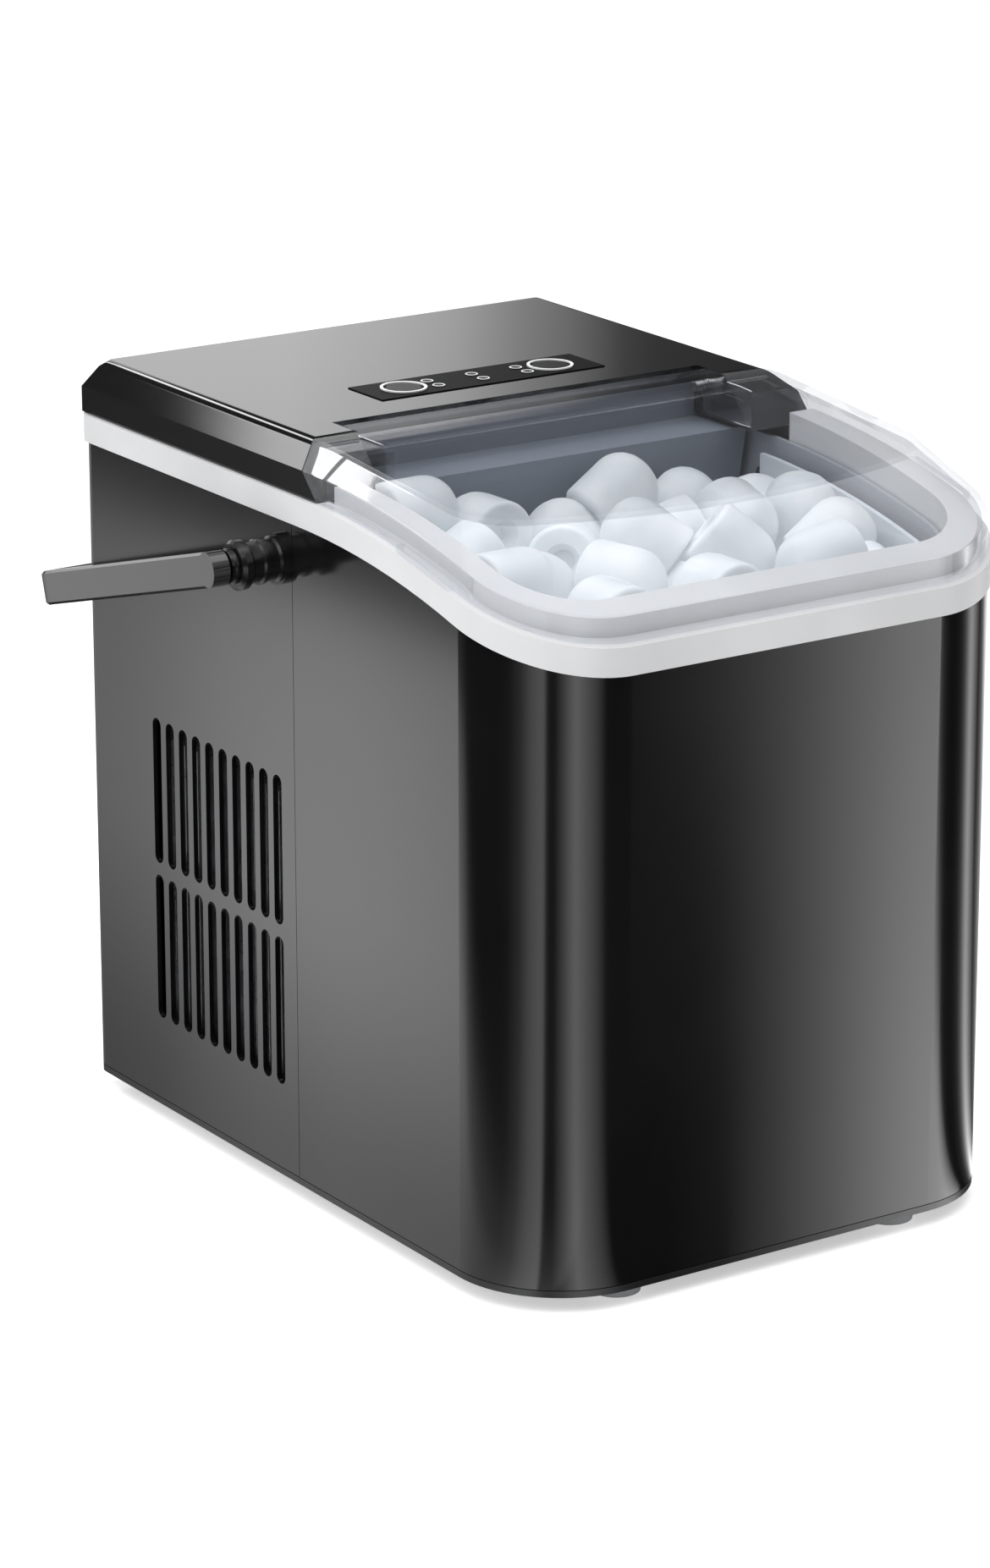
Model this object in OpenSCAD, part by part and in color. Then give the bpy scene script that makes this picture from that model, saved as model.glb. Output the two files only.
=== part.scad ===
// Countertop bullet-ice maker. Casing coordinates: x to the right from the casing's middle, y to the rear
// from the plane where the machine room begins, z up from the casing's underside. in_casing() carries them
// into the part's own frame, whose origin lies on the worktop, midway between the casing's front and the
// rear of the folded carrying handle.

/* [Casing] */
// Width of the painted casing
casing_w = 219; // [214:1:240]
// Depth of the painted casing
casing_d = 300.4; // [298:0.2:330]
// Depth of the machine room, from its plane to the casing's back
room_d = 150.2; // [149:0.2:165]
// Height from the casing's underside to the top of the cover
casing_h = 282; // [280:1:292]
// Radius of the two front corners
corner_r = 42.8; // [36:0.2:50]
// Radius of the two rear corners
rear_r = 6; // [4:0.5:10]
// Wall of the painted shells
shell_wall = 2; // [1.2:0.1:2.2]
// Place of the seam between the shells, behind the machine room's plane
seam_y = 0.3; // [-1:0.1:1]
// Gap between neighbouring pieces of the casing
seam_gap = 0.3; // [0.2:0.05:0.5]
// Height of the rubber feet
foot_h = 6; // [5:0.5:9]
// Radius of a rubber foot
foot_r = 10; // [8:0.5:13]

/* [Top frame] */
// Height of the cover's top above the band's lower edge
cover_rise = 29; // [28:0.5:31]
// Height of the band
band_h = 10.4; // [9:0.2:12]
// How far the band stands proud of the casing
band_out = 1.6; // [1:0.1:2.4]
// Radius of the band's downward sweep to the front
sweep_r = 413; // [400:1:480]
// Where the sweep starts, from the machine room's plane
sweep_y = -5; // [-8:0.5:-3]
// Height of the raised ledge inside the lid
ledge_h = 7; // [5:0.5:8]
// Inset of the ledge's inner edge from the casing's outline
ledge_in = 15; // [14:0.5:18]

/* [Cover and lid] */
// Wall of the top cover and the lid
cover_wall = 2.5; // [2:0.1:3]
// Height of the cover's upright side
cover_side = 9.7; // [8:0.1:11]
// Width of the cover's side chamfer
chamfer_w = 10; // [8:0.5:12]
// Rake of the joint between cover and lid, from upright
joint_rake = 44; // [40:1:48]
// Half the width of the lid's tongue notch
notch_half = 81; // [76:1:84]
// Rear edge of the tongue notch
notch_y = 18; // [16:0.5:20]
// Radius of the lid's hinge barrel
barrel_r = 6; // [5:0.25:6.5]
// Radius of the steel hinge pins
pin_r = 2; // [1.5:0.1:2.5]
// Depth of the lid's front crease below the cover's top
crease_drop = 9.7; // [6:0.1:12]
// Inset of the crease from the casing's front
crease_in = 29.7; // [26:0.1:34]
// Radius of the crease's bow
crease_bow = 284; // [220:2:400]
// Radius of the crease's two corners
crease_r = 24; // [18:1:34]

/* [Controls] */
// Width of the control panel
panel_w = 99; // [94:1:110]
// Depth of the control panel
panel_d = 23.6; // [22:0.2:26]
// Middle of the panel across the casing
panel_x = 1.5; // [-2:0.5:2]
// Middle of the panel from front to rear
panel_y = 47.6; // [46:0.2:50]
// Distance between the two buttons
button_pitch = 65.4; // [60:0.2:70]
// Radius of a button cap
button_r = 7.2; // [6.5:0.1:7.5]
// Travel of a button
button_travel = 1; // [0.8:0.1:1.2]
// Distance between neighbouring pairs of indicators
indicator_pitch = 19.8; // [18:0.2:21]
// Radius of an indicator
indicator_r = 2.3; // [1.6:0.1:3]

/* [Carrying handle] */
// Depth of the handle's pivots below the cover's top
pivot_drop = 44; // [43:0.5:46]
// Distance of the pivots behind the machine room's plane
pivot_y = 8.5; // [8:0.5:10]
// Distance of the arms' outer faces from the casing's sides, at the pivots
arm_out = 30.5; // [28.5:0.5:36]
// Distance of the arms' outer faces from the casing's sides, at the grip
grip_out = 12.5; // [10.5:0.5:18]
// Gap between the casing's back and the folded grip
grip_gap = 12.04; // [10:0.02:24]
// Thickness of the handle's strap
strap_t = 6.5; // [5.5:0.5:7]
// Width of the handle's strap
strap_w = 13; // [12:0.5:15]
// Slope of the folded handle below level
handle_slope = 16.2; // [14:0.2:20]
// Outer radius of the handle's bends
bend_r = 14; // [11:0.5:18]

/* [Tank and basket] */
// Inset of the tank from the casing's outline
tank_in = 15.6; // [15.3:0.1:17]
// Wall of the tank
tank_wall = 2; // [1.5:0.1:2.5]
// Underside of the tank
tank_z = 24; // [20:1:28]
// Wall of the ice basket
basket_wall = 2; // [1.5:0.1:2.5]
// Gap between the basket and the tank
basket_gap = 4; // [3.5:0.5:6]
// Underside of the basket
basket_z = 128; // [110:1:134]

/* [Ice making] */
// Number of freezing fingers in the front row
front_fingers = 5; // [4:1:5]
// Distance between neighbouring fingers
finger_pitch = 27; // [26:0.5:28]
// Radius of a finger
finger_r = 4.5; // [4:0.1:5]
// Depth to which a finger dips into the trough
finger_dip = 22; // [16:0.5:22]
// Radius of the water tray's trough
tray_r = 42; // [40:0.5:42.5]
// Half the width of the water tray
tray_half = 73.8; // [73:0.2:76]
// Wall of the water tray
tray_wall = 1.8; // [1.5:0.1:2.2]
// Radius of the tray's trunnions
trunnion_r = 4; // [3:0.25:4.5]

/* [Cooling] */
// Radius of the compressor's shell
compressor_r = 45; // [40:1:46]
// Room above the compressor's shell, under the tank's shelf
compressor_room = 10.5; // [8.5:0.5:24]
// Thickness of the condenser
condenser_t = 22; // [18:1:23]
// Distance between condenser fins
fin_pitch = 4.5; // [4:0.25:7.5]
// Radius of the fan's sweep
fan_r = 39.5; // [34:0.5:40]
// Number of fan blades
blade_count = 7; // [5:1:9]

/* [Vents] */
// Slots in one row
slot_count = 10; // [6:1:10]
// Width of a slot
slot_w = 6; // [4:0.5:6.5]
// Distance between slots
slot_pitch = 9.6; // [8.5:0.2:10]
// First slot's distance behind the seam
slot_first = 12.2; // [11:0.2:14]

/* [Hidden] */
$fn = 96;

eps = 0.01;
running = 0.06;                 // radial running clearance of every shaft
half_w = casing_w / 2;
front_y = room_d - casing_d;
rear_y = room_d;
band_z = casing_h - cover_rise;
pivot_z = casing_h - pivot_drop;
handle_half = half_w + arm_out; // outer face of the handle's arm at its pivot
grip_half = half_w + grip_out;  // and at its grip
handle_reach = (rear_y + grip_gap - pivot_y) / cos(handle_slope) + strap_t;
handle_rear = pivot_y + handle_reach * cos(handle_slope) + (strap_w / 2 - 1) * sin(handle_slope);
casing_y = -(front_y - band_out + handle_rear) / 2;
shell_z = 2.8;                  // the shells stand on the base tray's flange
band_top = band_z + band_h;
cover_z = band_top + seam_gap;
cover_edge_z = cover_z + cover_side;
chamfer_h = casing_h - cover_edge_z;
chamfer_angle = atan2(chamfer_h, chamfer_w);
top_half = half_w - chamfer_w;
joint_y = 1.2;
joint_gap = 0.5;
hinge_y = notch_y - barrel_r - 1;
hinge_z = casing_h - barrel_r;
floor_z = 3;                    // top of the base tray's floor
ledge_out = 4.2;                // the ledge stands clear of the lid's wall and of its leaning front corners
ledge_end = -22;
fall_y = -10;                   // the lid's flat top falls gently from here to its front crease

// Freezing compartment
tank_rear_top = band_z - 7;
tray_y = 45;                    // the trough, its trunnions and the shovel turn about one axis
tray_z = tank_rear_top - 28;
shelf_z = tray_z - tray_r - 20;
step_y = -12;
tank_rear = tray_y + tray_r + 5;
row_gap = 28;
manifold_r = 5;
manifold_z = tank_rear_top + 1.5 + manifold_r;
spout_y = 18.5;
spout_z = tray_z + 18;
hose_r = 3.6;
hose_x = half_w - shell_wall - 6.5;
sump_z = tank_z + 10;
probe_x = -40;
probe_heights = [tank_z + 20, tank_z + 38];

// Machine room
condenser_x = -half_w + shell_wall + 3.5;
condenser_y = seam_y + slot_first - 0.5;    // the condenser fills the width of the vents
condenser_d = (slot_count - 1) * slot_pitch + 3.6;
condenser_top = shelf_z - 6;
fins_z = 36;
coil_tubes = 6;
coil_z = fins_z + 12;
coil_rise = (condenser_top - 12 - coil_z) / (coil_tubes - 1);
fan_y = condenser_y + condenser_d / 2;
fan_z = (fins_z + condenser_top) / 2;
shroud_x = condenser_x + condenser_t + seam_gap;
shroud_t = 1.6;
motor_x = shroud_x + 22;
compressor_x = 32;
compressor_y = rear_y - shell_wall - compressor_r - 9.2;
compressor_z = 11.5;
compressor_h = shelf_z - compressor_room - compressor_z;
compressor_foot = 40;
pump_x = hose_x - 29;
pump_y = spout_y;
pump_r = 15;
pump_h = 40;
drain_y = -60;
drain_r = 5;
gland_x = -70;
gland_z = 30;
screw_r = 1.6;
screw_places = [[-80, 12], [80, 12], [-80, band_z - 5], [80, band_z - 5]];
foot_places = [for (x = [-61, 61], y = [front_y + 16, rear_y - 24.5]) [x, y]];
sensor_y = step_y;
sensor_z = tank_rear_top - 2;

module in_casing() { translate([0, casing_y, foot_h]) children(); }
module each_side() {
    children();
    mirror([1, 0, 0]) children();
}
// Extrudes a side view, drawn as (y, z), across the casing
module across(width) { rotate([90, 0, 90]) linear_extrude(width, center = true) children(); }
// Extrudes a front view, drawn as (x, z), from y_rear forward
module along(y_rear, length) {
    translate([0, y_rear, 0]) rotate([90, 0, 0]) linear_extrude(length) children();
}
// A cylinder along x from x0 to x1
module rod_x(x0, x1, radius) { translate([x0, 0, 0]) rotate([0, 90, 0]) cylinder(r = radius, h = x1 - x0); }
// A cylinder along y from y0 to y1
module rod_y(y0, y1, radius) { translate([0, y0, 0]) rotate([-90, 0, 0]) cylinder(r = radius, h = y1 - y0); }
// A body of revolution about x, drawn as (radius, x)
module turned_x() { rotate([0, 90, 0]) rotate_extrude() children(); }

// Plan of the casing, grown outward by g
module casing_outline(g = 0, facets = 96) {
    w = half_w + g;
    front = front_y - g;
    rear = rear_y + g;
    rf = corner_r + g;
    rr = max(rear_r + g, 1);
    translate([-w + rf, front]) square([2 * (w - rf), rf]);
    translate([-w, front + rf]) square([2 * w, rear - front - rf - rr]);
    translate([-w + rr, rear - rr - 1]) square([2 * (w - rr), rr + 1]);
    for (side = [-1, 1]) {
        translate([side * (w - rf), front + rf]) circle(rf, $fn = facets);
        translate([side * (w - rr), rear - rr]) circle(rr);
    }
}
module plan_ring(outer, inner) {
    difference() {
        casing_outline(outer);
        casing_outline(inner);
    }
}
// Side view of everything below the sweep whose rear height is z
module under_sweep(z, facets = 360) {
    translate([sweep_y, z - sweep_r]) circle(sweep_r, $fn = facets);
    translate([sweep_y, z - sweep_r]) square([2 * casing_d, sweep_r]);
}
module over_sweep(z) {
    difference() {
        translate([-casing_d, z - casing_h]) square([3 * casing_d, 4 * casing_h]);
        under_sweep(z);
    }
}
module sweep_band(z0, z1) {
    difference() {
        under_sweep(z1);
        under_sweep(z0);
    }
}
// A ring of the casing's plan between two sweeps
module swept_ring(outer, inner, z0, z1) {
    intersection() {
        linear_extrude(2 * casing_h) plan_ring(outer, inner);
        across(2 * casing_w) sweep_band(z0, z1);
    }
}
function sweep_height(y, z) = z - sweep_r + sqrt(sweep_r * sweep_r - pow(min(y - sweep_y, 0), 2));
// Everything behind (1) or in front of (-1) the raked joint of cover and lid
module joint_side(side, shift) {
    translate([0, joint_y + shift, casing_h]) rotate([-joint_rake, 0, 0])
        translate([-casing_w, side > 0 ? 0 : -2 * casing_d, -casing_d])
            cube([2 * casing_w, 2 * casing_d, 2 * casing_d]);
}

// ---- Casing ----
module base_tray() color("#1b1c1e") in_casing() difference() {
    union() {
        linear_extrude(shell_z - seam_gap) casing_outline();
        linear_extrude(floor_z) casing_outline(-shell_wall - seam_gap);
        translate([0, 0, eps]) linear_extrude(20)
            plan_ring(-shell_wall - seam_gap, -shell_wall - seam_gap - 2.5);
    }
    for (p = foot_places) translate([p[0], p[1], -1]) cylinder(r = 4, h = floor_z + 2);
    for (x = [-1, 1], y = [-1, 1])
        translate([compressor_x + x * compressor_foot, compressor_y + y * compressor_foot, -1])
            cylinder(r = 2, h = floor_z + 2);
    for (p = screw_places) if (p[1] < band_z / 2)
        translate([p[0], 0, p[1]]) rod_y(rear_y - 10, rear_y + 10, screw_r);
    translate([half_w - 20, drain_y, drain_z()]) rod_x(0, 40, 8.5);
    translate([gland_x, 0, gland_z]) rod_y(rear_y - 10, rear_y + 10, 12);
}
function drain_z() = sump_z;

module feet() color("#9b9c9e") for (p = foot_places) translate([p[0], casing_y + p[1], 0]) {
    cylinder(r1 = foot_r - 1, r2 = foot_r, h = foot_h - eps);
    cylinder(r = 4 - running, h = foot_h + floor_z);
    translate([0, 0, foot_h + floor_z + eps]) cylinder(r1 = 5, r2 = 3, h = 2);
    translate([0, 0, foot_h + floor_z - 1]) cylinder(r = 3, h = 2);
}

module shell_walls() linear_extrude(band_z) plan_ring(0, -shell_wall);
module handle_hole() translate([-casing_w, pivot_y, pivot_z]) rod_x(0, 2 * casing_w, 6 + seam_gap);

module front_wrap() color("#17181a") in_casing() difference() {
    shell_walls();
    translate([-casing_w, seam_y - seam_gap / 2, -1]) cube([2 * casing_w, casing_d, 2 * casing_h]);
    translate([0, 0, -1]) linear_extrude(shell_z + 1) casing_outline(1);
    across(2 * casing_w) over_sweep(band_z - seam_gap);
    translate([0, drain_y, drain_z()]) rod_x(half_w - 20, half_w + 20, 7 + seam_gap);
}

// Side view of one round-ended slot
module slot(y, z0, z1) {
    translate([y - slot_w / 2, z0 + slot_w / 2]) square([slot_w, z1 - z0 - slot_w]);
    for (z = [z0 + slot_w / 2, z1 - slot_w / 2]) translate([y, z]) circle(slot_w / 2);
}
module rear_shell() color("#2c2d2f") in_casing() difference() {
    shell_walls();
    translate([-casing_w, seam_y + seam_gap / 2 - 2 * casing_d, -1])
        cube([2 * casing_w, 2 * casing_d, 2 * casing_h]);
    translate([0, 0, -1]) linear_extrude(shell_z + 1) casing_outline(1);
    across(2 * casing_w) over_sweep(band_z - seam_gap);
    across(2 * casing_w) for (i = [0 : slot_count - 1]) {
        slot(seam_y + slot_first + i * slot_pitch, 98.2, 155.5);
        slot(seam_y + slot_first + i * slot_pitch, 35.9, 93.4);
    }
    handle_hole();
    translate([gland_x, 0, gland_z]) rod_y(rear_y - 10, rear_y + 10, 6);
    for (p = screw_places) translate([p[0], 0, p[1]]) rod_y(rear_y - 10, rear_y + 10, screw_r + 0.1);
}

module rear_screws() color("#3a3a3c") in_casing() for (p = screw_places)
    translate([p[0], rear_y, p[1]]) rotate([90, 0, 0]) {
        cylinder(r = screw_r - 0.02, h = 7);
        translate([0, 0, -1.8]) difference() {
            cylinder(r1 = 2.6, r2 = 3.4, h = 1.8);
            translate([-2, -0.4, -1]) cube([4, 0.8, 1.8]);
            translate([-0.4, -2, -1]) cube([0.8, 4, 1.8]);
        }
    }

module cord_gland() color("#111213") in_casing() translate([gland_x, rear_y, gland_z]) rotate([-90, 0, 0])
    difference() {
        union() {
            translate([0, 0, -shell_wall - 3]) cylinder(r = 6 - seam_gap, h = shell_wall + 4);
            cylinder(r = 9, h = 2.5);
            translate([0, 0, 2]) cylinder(r1 = 6, r2 = 4.6, h = 9);
            translate([0, 0, -shell_wall - 3]) cylinder(r1 = 6.4, r2 = 7.4, h = 2.6);
        }
        translate([0, 0, -10]) cylinder(r = 3.4, h = 30);
    }

module top_frame() color("#e4e4e4") in_casing() difference() {
    union() {
        swept_ring(band_out, -5.6, band_z, band_top);
        swept_ring(-shell_wall - seam_gap, -shell_wall - seam_gap - 2, band_z - 8, band_z + 1);
        // Raised ledge around the basket, open below
        difference() {
            union() {
                swept_ring(-5, -ledge_out - 2.2, band_z, band_top);
                swept_ring(-ledge_out, -ledge_in, band_top - 12, band_top + ledge_h);
            }
            swept_ring(-ledge_out - 2.2, -ledge_in + 2.2, band_top - 13, band_top + ledge_h - 2.2);
            swept_ring(-5, -ledge_out - 2.3, band_top - 13, band_z);
            translate([-casing_w, ledge_end, 0]) cube([2 * casing_w, 2 * casing_d, 2 * casing_h]);
        }
        difference() {
            swept_ring(-cover_wall - 0.4, -cover_wall - 2.4, band_top - 1, band_top + 4);
            translate([-casing_w, -2 * casing_d + 24, 0]) cube([2 * casing_w, 2 * casing_d, 2 * casing_h]);
        }
    }
    for (p = screw_places) translate([p[0], 0, p[1]]) rod_y(rear_y - 12, rear_y - 1, screw_r);
    translate([-casing_w, pivot_y, pivot_z]) rod_x(0, 2 * casing_w, 10.5);
}

// Front view of the cover, with its walls moved in by i
module cover_section(i) {
    w = half_w - i;
    z = casing_h - i;
    edge = cover_edge_z - i * tan((90 - chamfer_angle) / 2);
    top = top_half - i * tan(chamfer_angle / 2);
    foot = cover_z - (i > 0 ? 1 : 0);
    polygon([[-w, foot], [w, foot], [w, edge], [top, z], [-top, z], [-w, edge]]);
}
module top_cover() color("#1e1f21") in_casing() difference() {
    union() {
        difference() {
            along(rear_y, rear_y + 30) cover_section(0);
            joint_side(-1, 0);
            difference() {
                along(rear_y - cover_wall, rear_y + 30) cover_section(cover_wall);
                joint_side(-1, cover_wall / cos(joint_rake));
            }
        }
        difference() {
            each_side() translate([notch_half, -40, cover_z])
                cube([cover_wall, notch_y + 42, casing_h - cover_z - 1]);
            joint_side(-1, 0);
        }
        translate([-notch_half - 1, notch_y, casing_h - 6]) cube([2 * notch_half + 2, 2, 5]);
        for (x = [-1, 1], y = [-1, 1]) translate([panel_x + x * 42, panel_y + y * 9.5, board_z()])
            cylinder(r = 2.5, h = casing_h - 1 - board_z());
    }
    translate([-notch_half, -60, cover_z - 1]) cube([2 * notch_half, 60 + notch_y, 40]);
    for (side = [-1, 1]) translate([panel_x + side * button_pitch / 2, panel_y, casing_h - 10])
        cylinder(r = button_r + 0.4, h = 20);
    indicator_holes(casing_h - 10, 20);
    translate([0, hinge_y, hinge_z]) rod_x(-half_w + 4, half_w - 4, pin_r + running);
}
function board_z() = casing_h - 10.4;
function indicator_places() =
    [for (i = [-1, 0, 1], side = [-1, 1]) [panel_x + i * indicator_pitch, panel_y + side * 4]];
module indicator_holes(z, depth) for (p = indicator_places())
    translate([p[0], p[1], z]) cylinder(r = indicator_r + seam_gap / 2, h = depth);

// ---- Controls ----
module control_overlay() color("#202123") in_casing() difference() {
    translate([panel_x - panel_w / 2, panel_y - panel_d / 2, casing_h]) cube([panel_w, panel_d, 0.4]);
    for (side = [-1, 1]) translate([panel_x + side * button_pitch / 2, panel_y, casing_h - 1])
        cylinder(r = button_r + 0.4, h = 3);
    indicator_holes(casing_h - 1, 3);
}
module button_rings() color("#d5d6d8") in_casing() for (side = [-1, 1])
    translate([panel_x + side * button_pitch / 2, panel_y, casing_h + 0.4 + eps]) rotate_extrude()
        translate([button_r + 0.5, 0]) square([1.1, 0.5]);
module indicator_lenses() color("#c9ccd0") in_casing() for (p = indicator_places())
    translate([p[0], p[1], board_z() + 3.4]) cylinder(r = indicator_r, h = casing_h + 0.6 - board_z() - 3.4);
module button_cap(side) in_casing() translate([panel_x + side * button_pitch / 2, panel_y, 0]) {
    translate([0, 0, casing_h - 4]) cylinder(r = button_r, h = 4.2);
    translate([0, 0, casing_h + 0.2 - eps]) cylinder(r1 = button_r, r2 = button_r - 0.6, h = 0.5);
    translate([0, 0, board_z() + 3.2 + button_travel]) cylinder(r = 2, h = 4);
}
module power_button() color("#18191b") button_cap(1);
module select_button() color("#18191b") button_cap(-1);
module control_board() color("#1d5a34") in_casing() {
    translate([panel_x - 46, panel_y - 12, board_z() - 1.6]) cube([92, 24, 1.59]);
    for (side = [-1, 1]) translate([panel_x + side * button_pitch / 2, panel_y, board_z() - eps]) {
        translate([-3, -3, 0]) cube([6, 6, 2]);
        cylinder(r = 1.6, h = 3);
    }
    for (p = indicator_places()) translate([p[0], p[1], board_z() - eps]) cylinder(r = 1.5, h = 3);
    translate([panel_x - 9, panel_y - 11, board_z() - 7.6]) cube([18, 6, 6.1]);
}

// ---- Lid ----
// Plan of the lid's crease: a bowed front that runs into rounded corners and straight sides, moved in by i
module crease_plan(i) {
    corner_x = top_half - crease_r;
    corner_y = front_y + crease_in + crease_bow - sqrt(pow(crease_bow - crease_r, 2) - corner_x * corner_x);
    for (side = [-1, 1]) translate([side * corner_x, corner_y]) circle(crease_r - i, $fn = 48);
    intersection() {
        translate([0, front_y + crease_in + crease_bow]) circle(crease_bow - i, $fn = 180);
        translate([-corner_x, front_y]) square([2 * corner_x, corner_y - front_y]);
    }
}
// The lid's outer form with its walls moved in by i: upright walls as high as the cover's side follow the
// sweep, and lean from there to the crease round the gently falling top
module lid_form(i) hull() {
    rear = 30;
    inset = i * tan(chamfer_angle / 2);
    translate([-top_half + inset, fall_y, casing_h - i - eps]) cube([2 * (top_half - inset), rear - fall_y, eps]);
    translate([0, fall_y, casing_h - i]) rotate([atan2(crease_drop, fall_y - front_y - crease_in), 0, 0])
        translate([0, -fall_y, -eps]) linear_extrude(eps) crease_plan(inset);
    intersection() {
        linear_extrude(casing_h) casing_outline(-i, 64);
        across(2 * casing_w) under_sweep(cover_edge_z - i * tan((90 - chamfer_angle) / 2), 180);
        translate([-casing_w, front_y, band_z - 40]) cube([2 * casing_w, rear - front_y, casing_h]);
    }
}
module lid() color("#c8d0dc", 0.35) in_casing() difference() {
    tongue_half = notch_half - joint_gap;
    tab_y = front_y + 59.7;
    union() {
        difference() {
            lid_form(0);
            lid_form(cover_wall);
            difference() {
                joint_side(1, -joint_gap);
                translate([-tongue_half, -60, cover_z]) cube([2 * tongue_half, 60 + hinge_y, 40]);
            }
            across(2 * casing_w) under_sweep(band_top + seam_gap);
        }
        // Walls that close the two shoulders behind the basket
        intersection() {
            lid_form(1);
            each_side() translate([tongue_half - 2.2, -19.5, band_top + seam_gap + 0.4]) cube([30, 2.2, 30]);
        }
        // Tongue's side skirts and hinge barrel
        each_side() translate([tongue_half - 2.2, -19, hinge_z - 11]) cube([2.2, 21 + hinge_y, 16]);
        translate([0, hinge_y, hinge_z]) rod_x(-tongue_half, tongue_half, barrel_r);
        translate([-tongue_half, hinge_y + 0.4, hinge_z - 11]) cube([2 * tongue_half, 2.2, 9]);
        // Finger tabs
        each_side() translate([half_w - 1.5, tab_y, sweep_height(tab_y, band_top) + 2.6])
            rotate([asin((sweep_y - tab_y) / sweep_r), 0, 0]) translate([0, -16.5, -1.5]) cube([5.3, 33, 3]);
    }
    translate([0, hinge_y, hinge_z]) each_side() rod_x(tongue_half - 7, tongue_half + 1, pin_r + running);
}
module hinge_pins() color("#b9bbbd") in_casing() translate([0, hinge_y, hinge_z]) each_side() {
    rod_x(notch_half - 6.5, notch_half + cover_wall + 1.5, pin_r);
    rod_x(notch_half + cover_wall + seam_gap, notch_half + cover_wall + 2, pin_r + 1.5);
}

// ---- Tank and basket ----
module evaporator_cover() color("#8e939d") in_casing() difference() {
    side = half_w - tank_in;
    top = tank_rear_top + 16;
    front_half = side - tank_wall - 3.9;
    union() {
        translate([-side, notch_y + 2.6, top - 2.2]) cube([2 * side, tank_rear - notch_y - 2.6, 2.2]);
        each_side() translate([side - tank_wall, notch_y + 2.6, tank_rear_top + seam_gap])
            cube([tank_wall, tank_rear - notch_y - 2.6, 15]);
        translate([-side, tank_rear - tank_wall, tank_rear_top + seam_gap]) cube([2 * side, tank_wall, 15]);
        // Slanting front behind the basket
        across(2 * front_half) polygon([[-4, top], [notch_y + 3, top], [notch_y + 3, top - 2.2],
            [-1.3, top - 2.2], [5.4, tray_z + 9], [3.1, tray_z + 9]]);
        translate([-side + 3, notch_y + 2.6, top - 1])
            cube([2 * side - 6, 2.2, casing_h - cover_wall - seam_gap - top + 1]);
    }
    for (y = [-1, 1]) translate([0, tray_y + y * row_gap / 2, manifold_z])
        rod_x(-side - 5, -side + 5, manifold_r + seam_gap);
}
module tank_space(i) intersection() {
    linear_extrude(2 * casing_h) casing_outline(-tank_in - i);
    across(2 * casing_w) polygon([[-casing_d, tank_z + i], [step_y - i, tank_z + i],
        [step_y - i, shelf_z + i], [tank_rear - i, shelf_z + i], [tank_rear - i, 2 * casing_h],
        [-casing_d, 2 * casing_h]]);
}
module tank() color("#a9adb5") in_casing() difference() {
    inner_half = half_w - tank_in - tank_wall;
    union() {
        difference() {
            tank_space(0);
            tank_space(tank_wall);
        }
        // Runners that carry the basket
        each_side() translate([inner_half - 6, front_y + 38.2, basket_z - 6 - seam_gap])
            cube([6.5, step_y - 10 - front_y - 38.2, 6]);
        // Bearing bosses of the water tray
        translate([0, tray_y, tray_z]) each_side() rod_x(tray_half + 2.4, inner_half + 0.5, trunnion_r + 4);
    }
    across(2 * casing_w) over_sweep(band_top - 3.5);
    translate([-casing_w, notch_y + 2.2, tank_rear_top]) cube([2 * casing_w, casing_d, casing_h]);
    translate([-casing_w, tray_y, tray_z]) rod_x(0, 2 * casing_w, trunnion_r + running);
    translate([0, spout_y, spout_z]) rod_x(half_w / 2, casing_w, hose_r + 0.2);
    translate([half_w - 30, drain_y, drain_z()]) rod_x(0, 40, 7.2);
    translate([pump_x, step_y - 8, sump_z]) rotate([-90, 0, 0]) cylinder(r = 4.2, h = 20);
    for (z = probe_heights) translate([probe_x, step_y - 8, z]) rotate([-90, 0, 0]) cylinder(r = 1.6, h = 20);
    for (side = [-1, 1]) translate([side * half_w - 30, sensor_y, sensor_z]) rod_x(0, 60, 4.2);
}
module tank_insulation() color("#f1efe6") in_casing() difference() {
    side = half_w - tank_in;
    length = step_y - front_y - corner_r;
    sheet = 10;
    union() {
        translate([-side, front_y + corner_r, floor_z + seam_gap])
            cube([2 * side, length, tank_z - floor_z - 2 * seam_gap]);
        each_side() translate([side + seam_gap, front_y + corner_r, tank_z - 8])
            cube([sheet, length, band_z - 45 - tank_z]);
        each_side() translate([side - sheet, front_y + corner_r, tank_z - 8])
            cube([sheet + 2 * seam_gap, length, 8 - seam_gap]);
    }
    translate([half_w - 30, drain_y, drain_z()]) rod_x(0, 40, 8);
}
module basket_space(i) intersection() {
    linear_extrude(2 * casing_h) casing_outline(-tank_in - tank_wall - basket_gap - i);
    rear_top = tray_z - 46;
    across(2 * casing_w) polygon([[-casing_d, basket_z + i], [basket_rear() - i, basket_z + i],
        [basket_rear() - i, rear_top], [basket_rear() + 20 * i, rear_top],
        [basket_rear() + 20 * i, 2 * casing_h], [-casing_d, 2 * casing_h]]);
}
function basket_rear() = step_y - tank_wall - 1.5;
module ice_basket() color("#d9dce0") in_casing() difference() {
    basket_space(0);
    basket_space(basket_wall);
    across(2 * casing_w) over_sweep(band_top - 9);
    // Draining slots in the floor
    linear_extrude(basket_z + 10) for (x = [-60 : 20 : 60], row = [0, 1])
        translate([x - 3, front_y + 44 + row * 44]) square([6, 34]);
}
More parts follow.
